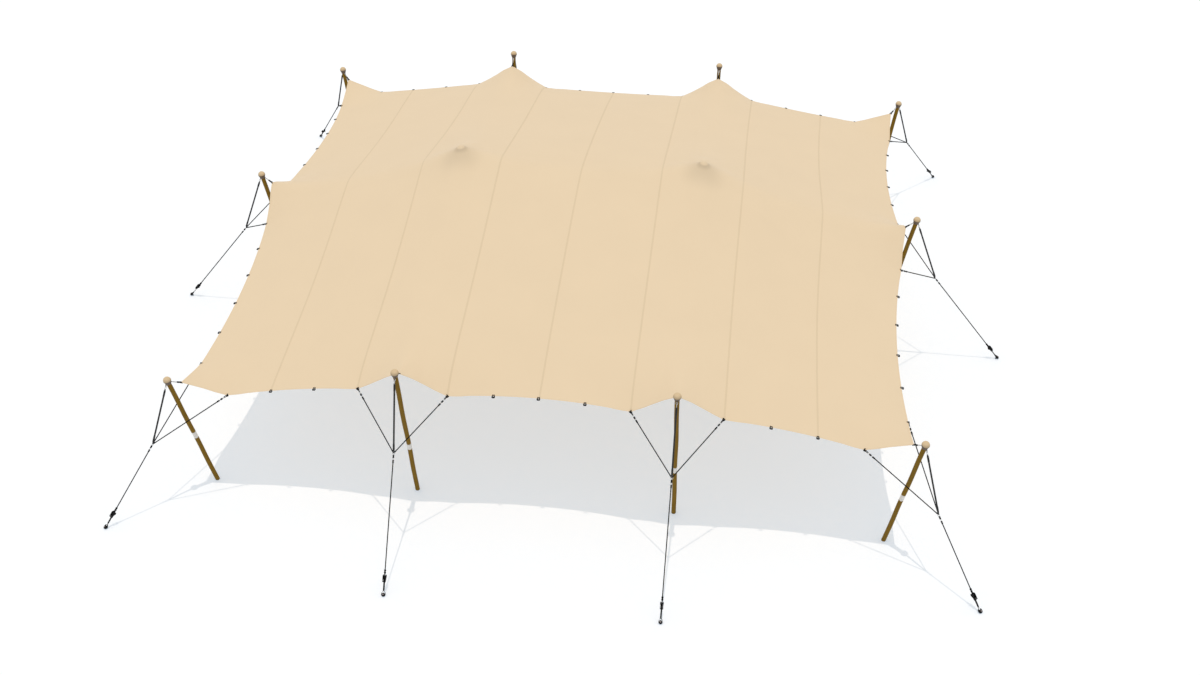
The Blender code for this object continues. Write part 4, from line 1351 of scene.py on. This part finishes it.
def edge_head_look(place, tip_end):
    """A pole head with ear and shackle for the stay, and a stud, two links and a sling to the cloth."""
    ball, foot = Vector(place["ball"]), Vector(place["foot"])
    ear, stay = stay_line(place)
    lug = beside_pole(place, TIP_LUG, 0.0)
    meshes = [*head_look(aimed(ball, ball - foot)), ear_plate(place)]
    shackle_at = shifted(aimed(ear, stay), -0.0085)
    meshes.append(link(0.044, 0.036, 0.0042, "galvanised fitting", shackle_at))

    tip_at = aimed(lug, tip_end - lug)
    reach = (tip_end - lug).length
    stud = [(0.045, 0.0), (0.045, 0.0075), (0.075, 0.0075), (0.0785, 0.006), (0.08, 0.003), (0.08, 0.0)]
    meshes.append(turned(stud, "weathered collar", tip_at, sides=16))
    first_link, overlap = 0.068, 0.006
    sling_start = reach - TIP_STRAP_LENGTH
    middle = (first_link + sling_start) / 2
    links = ((first_link, middle + overlap, 0), (middle - overlap, sling_start + 2 * overlap, 90))
    for low, high, roll in links:
        meshes.append(link(high - low, 0.024, 0.0044, "galvanised fitting", shifted(tip_at, low, roll)))
    meshes += round_sling(tip_at, sling_start, reach + 0.004, 0.0132, 0.012, 0.012, "black strap")
    return gathered(meshes)


def round_sling(at, low, high, radius, eye, seam, finish="polyester webbing"):
    """A sling of woven tube between two eyes along X, thicker over the sewn length behind each eye.

    Eye is how long each eye is, and seam how long it is with its sewn length.
    """
    thick = radius * 1.16
    half = [(eye, 0.0), (eye, radius * 0.6), (eye + 0.003, thick * 0.9), (eye + 0.006, thick)]
    half += [(eye + seam - 0.004, thick), (eye + seam, radius)]
    profile = [(low + x, r) for x, r in half] + [(high - x, r) for x, r in reversed(half)]
    wire = radius * 0.5
    bows = [
        link(eye + 0.012, 2.2 * radius, wire, finish, at @ Matrix.Translation((start, 0, 0)))
        for start in (low, high - eye - 0.012)
    ]
    return [turned(profile, finish, at, sides=20), *bows]


def bobbin(length, radius, at):
    """A sleeve with rounded shoulders and a waist, from the origin along X."""
    half = ((0, 0), (0, 0.55), (0.04, 0.8), (0.14, 1), (0.3, 0.94))
    shares = (*half, (0.5, 0.86), *((1 - x, r) for x, r in reversed(half)))
    return turned([(length * x, radius * r) for x, r in shares], "moulded nylon", at, sides=16)


def snap_hook(length, width, at):
    """A black snap hook: a closed hook of round bar with a thicker gate on one side."""
    bar, gate_end = 0.0055, length * 0.44
    gate = [(0.0, 0.0), (0.0, 0.0054), (0.001, 0.0066), (length * 0.42, 0.0066), (gate_end, 0.0054)]
    beside = at @ Matrix.Translation((length * 0.28, width / 2 - bar, 0))
    return [
        link(length, width, bar, "black coated steel", at),
        turned([*gate, (gate_end, 0.0)], "moulded nylon", beside, sides=12),
    ]


def bow_shackle(length, width, at):
    """A small shackle with its pin across the near end."""
    half = width / 2
    pin = [(-half - 0.003, 0.0), (-half - 0.003, 0.0045), (-half, 0.0045), (-half, 0.003)]
    pin += [(half, 0.003), (half, 0.005), (half + 0.004, 0.005), (half + 0.004, 0.0)]
    pin_at = at @ Matrix.Translation((0.004, 0, 0))
    return [
        link(length, width, 0.0034, "galvanised fitting", at),
        turned(pin, "galvanised fitting", pin_at, sides=12, axis="Y"),
    ]


def bridle_rope(start, end):
    """A rope from a hem tab to the ring, with its hook, shackle, thimbles and link next to the cloth."""
    at = aimed(start, end - start)
    length = (end - start).length
    meshes = snap_hook(0.053, 0.032, shifted(at, -0.006, 90))
    meshes += bow_shackle(0.038, 0.024, shifted(at, 0.04))
    meshes.append(bobbin(0.042, 0.0152, shifted(at, 0.073)))
    meshes.append(link(0.034, 0.022, 0.0038, "galvanised fitting", shifted(at, 0.109, 90)))
    meshes.append(bobbin(0.052, 0.0145, shifted(at, 0.136)))
    rope_end = length - RING_RADIUS - 0.022
    meshes.append(rope([at @ Vector((x, 0, 0)) for x in (0.182, rope_end)]))
    meshes.append(bobbin(0.034, 0.011, shifted(at, rope_end - 0.01)))
    meshes.append(link(0.03, 0.02, 0.0045, "moulded nylon", shifted(at, rope_end + 0.018)))
    return meshes


def guy_look(place, guy_ends):
    """The whole bridle: stay, two ropes from the canopy, ring, lower rope with two knots, and hook."""
    junction = Vector(place["junction"])
    placed = line_frame(place)
    ear, stay = stay_line(place)
    start = ear + stay * (EAR_DROP - 0.003)
    stay_at = aimed(start, stay)
    stay_length = (junction - start).length
    meshes = [link(0.066, 0.032, 0.0042, "galvanised fitting", shifted(stay_at, 0.0, 90))]
    meshes += round_sling(stay_at, 0.05, stay_length - 0.014, STAY_RADIUS - 0.0004, 0.03, 0.11)
    for end in guy_ends:
        meshes += bridle_rope(end, junction)

    ring_at = placed.copy()
    ring_at.translation = junction
    circle = [(x, y, 0.0) for x, y in arc((0.0, 0.0), RING_RADIUS - 0.004, 0, 345, 24)]
    meshes.append(swept(circle, 0.004, "galvanised fitting", ring_at, looped=True, sides=10))

    down = aimed(junction, placed.translation - junction)
    length = (junction - placed.translation).length
    meshes.append(bobbin(0.052, 0.0148, shifted(down, 0.026)))
    meshes.append(link(0.044, 0.024, 0.0038, "galvanised fitting", shifted(down, 0.071)))
    meshes.append(bobbin(0.052, 0.0145, shifted(down, 0.108)))
    knot_high = RATCHET_START + FRAME_LENGTH + HOOK_LENGTH
    meshes.append(rope([down @ Vector((x, 0, 0)) for x in (0.152, length - knot_high + 0.06)]))
    for middle in (knot_high - 0.02, knot_high - 0.055):
        coil = []
        for share in np.linspace(0, 1, 33):
            angle = share * KNOT_TURNS * math.tau
            bulge = 0.0092 + 0.0035 * math.sin(math.pi * share)
            along = middle - KNOT_LENGTH / 2 + KNOT_LENGTH * share
            coil.append((along, bulge * math.cos(angle), bulge * math.sin(angle)))
        meshes.append(rope([placed @ Vector(point) for point in coil], KNOT_ROPE_RADIUS))
    hook_low = RATCHET_START + FRAME_LENGTH - 0.018
    meshes.append(link(0.056, 0.032, 0.0075, "black coated steel", shifted(placed, hook_low, 90)))
    return gathered(meshes)


def stake_strap(place, lean):
    """Webbing from the ratchet to the stake, round its shank and back, turned on edge at the shank."""
    placed = line_frame(place)
    x_axis, _, z_axis = placed.to_3x3().col
    toward = (x_axis - lean * x_axis.dot(lean)).normalized()
    aside = lean.cross(toward)
    radius = STAKE_LOOP_RADIUS + 0.0014
    line = []
    for x in np.linspace(RATCHET_START + 0.045, 0.03, 14):
        turn = min(max((STRAP_TURN_START - x) / STRAP_TURN_LENGTH, 0.0), 1.0)
        turn = turn * turn * (3 - 2 * turn)
        up = (z_axis * (1 - turn) + aside * turn).normalized()
        spread = STRAP_SPREAD + (radius - STRAP_SPREAD) * turn**12
        line.append((placed.translation + x_axis * x + up * spread, up))
    wrapped = []
    for angle in np.radians(np.linspace(100, 260, 9)):
        out = toward * math.cos(angle) + aside * math.sin(angle)
        wrapped.append((placed.translation + lean * STAKE_LOOP_RISE + out * radius, out))
    back = [(p - u * 2 * (p - placed.translation).dot(u), -u) for p, u in reversed(line)]
    return webbing(line + wrapped + back)


def side_plates(outlines, inner, at):
    """A pressed plate on each side of a ratchet, its inner face this far from the middle."""
    outer = inner + PLATE_THICKNESS
    return [
        plate(outlines, low, high, PLATE_EDGE, "black coated steel", at)
        for low, high in ((inner, outer), (-outer, -inner))
    ]


def pin_across(half, at, sides):
    """A steel pin along Y, the same at both ends, of a profile of its near half."""
    profile = [*half, *((-y, radius) for y, radius in reversed(half))]
    return turned(profile, "blackened wheel", at, sides=sides, axis="Y")


def ratchet_wheel(at, low):
    """A toothed wheel on the spool, with its bore."""
    outline = []
    for k in range(WHEEL_TEETH):
        for share, radius in ((0.0, 0.0125), (0.12, 0.0168), (0.3, 0.0172), (0.92, 0.0128)):
            angle = math.tau * (k + share) / WHEEL_TEETH
            outline.append((radius * math.cos(angle), radius * math.sin(angle)))
    bore = arc((0, 0), 0.0075, 0, 345, 24)
    return plate((outline, bore), low, low + WHEEL_THICKNESS, 0.0003, "blackened wheel", at)


def anchor_look(place):
    """Stake, strap, and the ratchet's frame with tray, spool, wheels, wound webbing, pins and pawl."""
    placed = line_frame(place)
    up_line = placed.to_3x3() @ Vector((1, 0, 0))
    inward = Vector((up_line.x, up_line.y, 0)).normalized()
    lean = Vector(UPRIGHT) * math.cos(STAKE_LEAN) - inward * math.sin(STAKE_LEAN)
    foot = placed.translation - lean * (STRAP_HEIGHT / lean.z)
    stake_at = aimed(foot, lean)
    stake = [(0.0, 0.0), (0.0, STAKE_SHANK_RADIUS), (STAKE_END_AT - 0.002, STAKE_SHANK_RADIUS)]
    upset = ((0.0, 0.85), (0.003, 0.96), (0.006, 1.0), (0.01, 0.96))
    for along, share in (*upset, (0.0125, 0.8), (0.0135, 0.5), (0.0138, 0.0)):
        stake.append((STAKE_END_AT + along, STAKE_END_RADIUS * share))
    meshes = [on_floor(turned(stake, "forged stake steel", sides=28), stake_at, reach=0.001)]
    # Lighter steel on the top of the end: hammer wear, and a painted highlight where light from above
    # falls.
    worn = ((0.0, 0.0), (0.0, 0.0136), (0.0008, 0.013), (0.0012, 0.009), (0.0012, 0.0))
    face_at = shifted(stake_at, STAKE_END_AT + 0.0132)
    meshes.append(turned(worn, "hammered stake end", face_at, sides=24))
    meshes.append(stake_strap(place, lean))
    stake_coil = []
    aside = lean.cross(up_line).normalized()
    for share in np.linspace(0, 1, 97):
        angle = share * STAKE_TURNS * math.tau
        out = aside * math.cos(angle) + lean.cross(aside) * math.sin(angle)
        radius = STAKE_SHANK_RADIUS + 0.0005 + (STAKE_LOOP_RADIUS - STAKE_SHANK_RADIUS - 0.002) * share
        stake_coil.append((placed.translation + lean * STAKE_LOOP_RISE + out * radius, out))
    meshes.append(webbing(stake_coil, STAKE_COIL_WIDTH))

    at = shifted(placed, RATCHET_START)
    low_end, high_end = arc((0.012, 0.0), 0.0115, 90, 270, 9), arc((0.112, 0.0), 0.0135, -70, 70, 9)
    outer = [*low_end, (0.06, -0.0145), *high_end, (0.07, 0.0125), (0.04, 0.0115)]
    inner = FRAME_PLATE_OUT - PLATE_THICKNESS
    meshes += side_plates((outer,), inner, at)
    tray = [(0.016, -0.0095), (0.08, -0.012), (0.08, -0.0095), (0.016, -0.007)]
    meshes.append(plate((tray,), -inner, inner, 0.0003, "black coated steel", at))
    for x, radius in ((0.011, 0.0042), (0.116, 0.0048)):
        head, face = -FRAME_PLATE_OUT - 0.0022, -FRAME_PLATE_OUT
        pin = [(head, 0.0), (head, radius), (face, radius + 0.001), (face, radius - 0.001)]
        meshes.append(pin_across(pin, shifted(at, x), 16))
    spool_at = shifted(at, SPOOL_AT)
    end = -HANDLE_PLATE_OUT - 0.002
    meshes.append(pin_across([(end, 0.0), (end, 0.0078), (end + 0.001, 0.0086)], spool_at, 24))
    for low_side in (WHEEL_IN, -WHEEL_IN - WHEEL_THICKNESS):
        meshes.append(ratchet_wheel(spool_at, low_side))
    spool_coil = []
    for share in np.linspace(0, 1, 61):
        angle = share * SPOOL_TURNS * math.tau
        radius = 0.0102 + 0.0054 * share
        out = Vector((math.cos(angle), 0.0, -math.sin(angle)))
        spool_coil.append((spool_at @ (out * radius), spool_at.to_3x3() @ out))
    meshes.append(webbing(spool_coil))
    pawl = [(0.052, 0.0035), (0.078, 0.0035), (0.0835, 0.009)]
    pawl += [(0.0815, 0.0105), (0.074, 0.0065), (0.052, 0.0065)]
    half = inner - CLEARANCE
    meshes.append(plate((pawl,), -half, half, 0.0004, "blackened wheel", at))
    return gathered(meshes)


def handle_look(place):
    """The closed handle: two pressed side plates and a ribbed grip between them."""
    at = shifted(line_frame(place), RATCHET_START + SPOOL_AT)
    inner = HANDLE_PLATE_OUT - PLATE_THICKNESS
    guard = arc((0.0, 0.0), GUARD_RADIUS - 0.001, -100, 100, 22)
    tip = arc((-GRIP_REACH, GRIP_RISE), GRIP_RADIUS, 100, 262, 9)
    bore = arc((0.0, 0.0), SPOOL_RADIUS + 0.0008, 0, 345, 24)
    meshes = side_plates((guard + tip, bore), inner, at)
    grip_at = at @ Matrix.Translation((-GRIP_REACH, 0, GRIP_RISE))
    half = inner - CLEARANCE
    rib = ((-0.0018, 0.0066), (-0.0012, 0.0078), (0.0012, 0.0078), (0.0018, 0.0066))
    grip = [(-half, 0.0), (-half, 0.0068)]
    for k in range(GRIP_RIBS):
        middle = -half + (k + 0.5) * 2 * half / GRIP_RIBS
        grip += [(middle + y, radius) for y, radius in rib]
    grip += [(half, 0.0068), (half, 0.0)]
    meshes.append(turned(grip, "moulded nylon", grip_at, sides=20, axis="Y"))
    head, face = -HANDLE_PLATE_OUT - 0.001, -HANDLE_PLATE_OUT
    meshes.append(pin_across([(head, 0.0), (head, 0.003), (face, 0.004), (face, 0.0026)], grip_at, 12))
    return gathered(meshes)


def loop_ends(cloth):
    """Where each fitting meets its loop or tab, by the node of the net."""
    roots, directions, _ = hem_places(cloth)
    return {node: root + directions[node] * LOOP_OUT for node, root in roots.items()}


class TENT_OT_hem_loops(bpy.types.Operator):
    """Sew a slack cord loop to the hem at every pitch, and a tab where a guy or a pole pulls"""

    bl_idname = "tent.hem_loops"
    bl_label = "Hem loops"

    def execute(self, context):
        show("hem_loops", sewn_loops(Cloth()), "tent")
        return {"FINISHED"}


class TENT_OT_stitching(bpy.types.Operator):
    """Sew two rows of stitches along each seam and one along the hem"""

    bl_idname = "tent.stitching"
    bl_label = "Stitching"

    def execute(self, context):
        settings = context.scene.tent_cloth
        mesh = grown(
            path_mesh(sewing_lines(Cloth())),
            tree_of("Stitching", stitch_tree),
            Pitch=settings.stitch_pitch,
            Length=STITCH_LENGTH,
            Width=STITCH_WIDTH,
            Depth=settings.seam_thickness + 2 * STITCH_PROUD,
            Finish=finish_of("sewing thread"),
        )
        show("stitching", mesh, "tent")
        return {"FINISHED"}


class TENT_OT_canopy(bpy.types.Operator):
    """Stretch the cloth over the poles as one sheet, with its seams and hem"""

    bl_idname = "tent.canopy"
    bl_label = "Canopy"

    def execute(self, context):
        nodes = [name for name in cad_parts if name.startswith("canopy_")]
        piece = show("canopy", canopy_mesh(Cloth()), "tent", nodes)
        heads = ["head_" + name for place in EDGE_PLACES.values() for name in place["copies"]]
        heads += ["head_" + name for name in INNER_POLES]
        return {"FINISHED"}


class TENT_OT_poles(bpy.types.Operator):
    """Stand the twelve timber poles"""

    bl_idname = "tent.poles"
    bl_label = "Poles"

    def execute(self, context):
        for place in EDGE_PLACES.values():
            look = pole_look(place["foot"], place["ball"], place["sleeve"])
            show_copies("timber_", look, place, "pole_")
        x, y, _ = INNER_PEAK
        look = pole_look((x, y, 0.0), (x, y, INNER_BALL_CENTRE), TALL_SLEEVE)
        for name, sign in INNER_POLES.items():
            show("timber_" + name, mirrored(look, (sign, 1)), "tent", ["pole_" + name])
        return {"FINISHED"}


class TENT_OT_heads(bpy.types.Operator):
    """Put the collars, balls, ears and tip links on the poles"""

    bl_idname = "tent.heads"
    bl_label = "Pole heads"

    def execute(self, context):
        cloth = Cloth()
        ends = loop_ends(cloth)
        for place in EDGE_PLACES.values():
            look = edge_head_look(place, ends[node_at(cloth.net, place["tip"])])
            show_copies("head_", look, place, "pole_head_")
        for name, sign in INNER_POLES.items():
            at = aimed((sign * INNER_PEAK[0], INNER_PEAK[1], INNER_BALL_CENTRE), UPRIGHT)
            show("head_" + name, gathered(head_look(at)), "tent", ["pole_head_" + name])
        return {"FINISHED"}


class TENT_OT_guys(bpy.types.Operator):
    """Rig the ten bridles, from the pole heads and the hem down to the ratchets"""

    bl_idname = "tent.guys"
    bl_label = "Guys"

    def execute(self, context):
        cloth = Cloth()
        ends = loop_ends(cloth)
        for place in EDGE_PLACES.values():
            look = guy_look(place, [ends[node_at(cloth.net, guy)] for guy in place["guys"]])
            show_copies("bridle_", look, place, "guy_")
        return {"FINISHED"}


class TENT_OT_anchors(bpy.types.Operator):
    """Drive the ten stakes and hang a ratchet on each"""

    bl_idname = "tent.anchors"
    bl_label = "Stakes and ratchets"

    def execute(self, context):
        for place in EDGE_PLACES.values():
            show_copies("stake_", anchor_look(place), place, "anchor_")
        return {"FINISHED"}


class TENT_OT_handles(bpy.types.Operator):
    """Hang the ten ratchet handles on their spools"""

    bl_idname = "tent.handles"
    bl_label = "Ratchet handles"

    def execute(self, context):
        for place in EDGE_PLACES.values():
            look = handle_look(place)
            show_copies("lever_", look, place, "ratchet_handle_", "handle_")
        return {"FINISHED"}


class TENT_OT_stage(bpy.types.Operator):
    """Lay the pale floor, and set the lights and the camera"""

    bl_idname = "tent.stage"
    bl_label = "Stage"

    def execute(self, context):
        scene = context.scene
        settings = scene.tent_stage
        slab = [(FLOOR_UNDERSIDE, 0.0), (FLOOR_UNDERSIDE, FLOOR_RADIUS)]
        slab += [(FLOOR_TOP, FLOOR_RADIUS), (FLOOR_TOP, 0.0)]
        floor = turned(slab, "matt studio board", aimed((0.0, 0.0, 0.0), UPRIGHT), sides=64)
        ground = new_object("studio_floor", floor)
        light = bpy.data.lights.new("overhead", "SUN")
        light.energy = settings.sun
        light.angle = SUN_ANGLE
        new_object("overhead", light)
        scene.view_settings.view_transform = "Standard"
        world = bpy.data.worlds.new("soft surround")
        world.use_nodes = True
        background = world.node_tree.nodes["Background"]
        background.inputs["Color"].default_value = (1.0, 1.0, 1.0, 1.0)
        background.inputs["Strength"].default_value = settings.sky
        scene.world = world
        lens = bpy.data.cameras.new("camera")
        lens.sensor_width = SENSOR_WIDTH
        lens.lens = FOCAL_PIXELS / IMAGE_SIZE[0] * SENSOR_WIDTH
        lens.clip_end = 500.0
        camera = new_object("camera", lens)
        camera.location = CAMERA_PLACE
        camera.rotation_euler = (math.pi / 2 - CAMERA_PITCH, 0.0, CAMERA_TURN)
        scene.camera = camera
        return {"FINISHED"}


class TENT_PT_panel(bpy.types.Panel):
    """The tent's settings and the steps that build it"""

    bl_idname = "TENT_PT_panel"
    bl_label = "Stretch tent"
    bl_space_type = "VIEW_3D"
    bl_region_type = "UI"
    bl_category = "Tent"

    def draw(self, context):
        for label, attribute, _ in SETTINGS:
            group = getattr(context.scene, attribute)
            box = self.layout.box()
            box.label(text=label)
            for name in group.bl_rna.properties.keys():
                if name not in ("rna_type", "name"):
                    box.prop(group, name)
        for step in STEPS:
            self.layout.operator(step.bl_idname)


SETTINGS = (
    ("Cloth", "tent_cloth", TentClothSettings),
    ("Poles", "tent_poles", TentPoleSettings),
    ("Lines and anchors", "tent_lines", TentLineSettings),
    ("Stage", "tent_stage", TentStageSettings),
)
STEPS = (
    TENT_OT_stage,
    TENT_OT_hem_loops,
    TENT_OT_stitching,
    TENT_OT_canopy,
    TENT_OT_poles,
    TENT_OT_heads,
    TENT_OT_guys,
    TENT_OT_anchors,
    TENT_OT_handles,
)


def register():
    for _, attribute, settings in SETTINGS:
        bpy.utils.register_class(settings)
        setattr(bpy.types.Scene, attribute, bpy.props.PointerProperty(type=settings))
    for kind in (*STEPS, TENT_PT_panel):
        bpy.utils.register_class(kind)


def unregister():
    for kind in (TENT_PT_panel, *reversed(STEPS)):
        bpy.utils.unregister_class(kind)
    for _, attribute, settings in SETTINGS:
        delattr(bpy.types.Scene, attribute)
        bpy.utils.unregister_class(settings)


def main():
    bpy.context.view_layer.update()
    register()
    for step in STEPS:
        group, name = step.bl_idname.split(".")
        getattr(getattr(bpy.ops, group), name)()


if __name__ == "__main__":
    main()
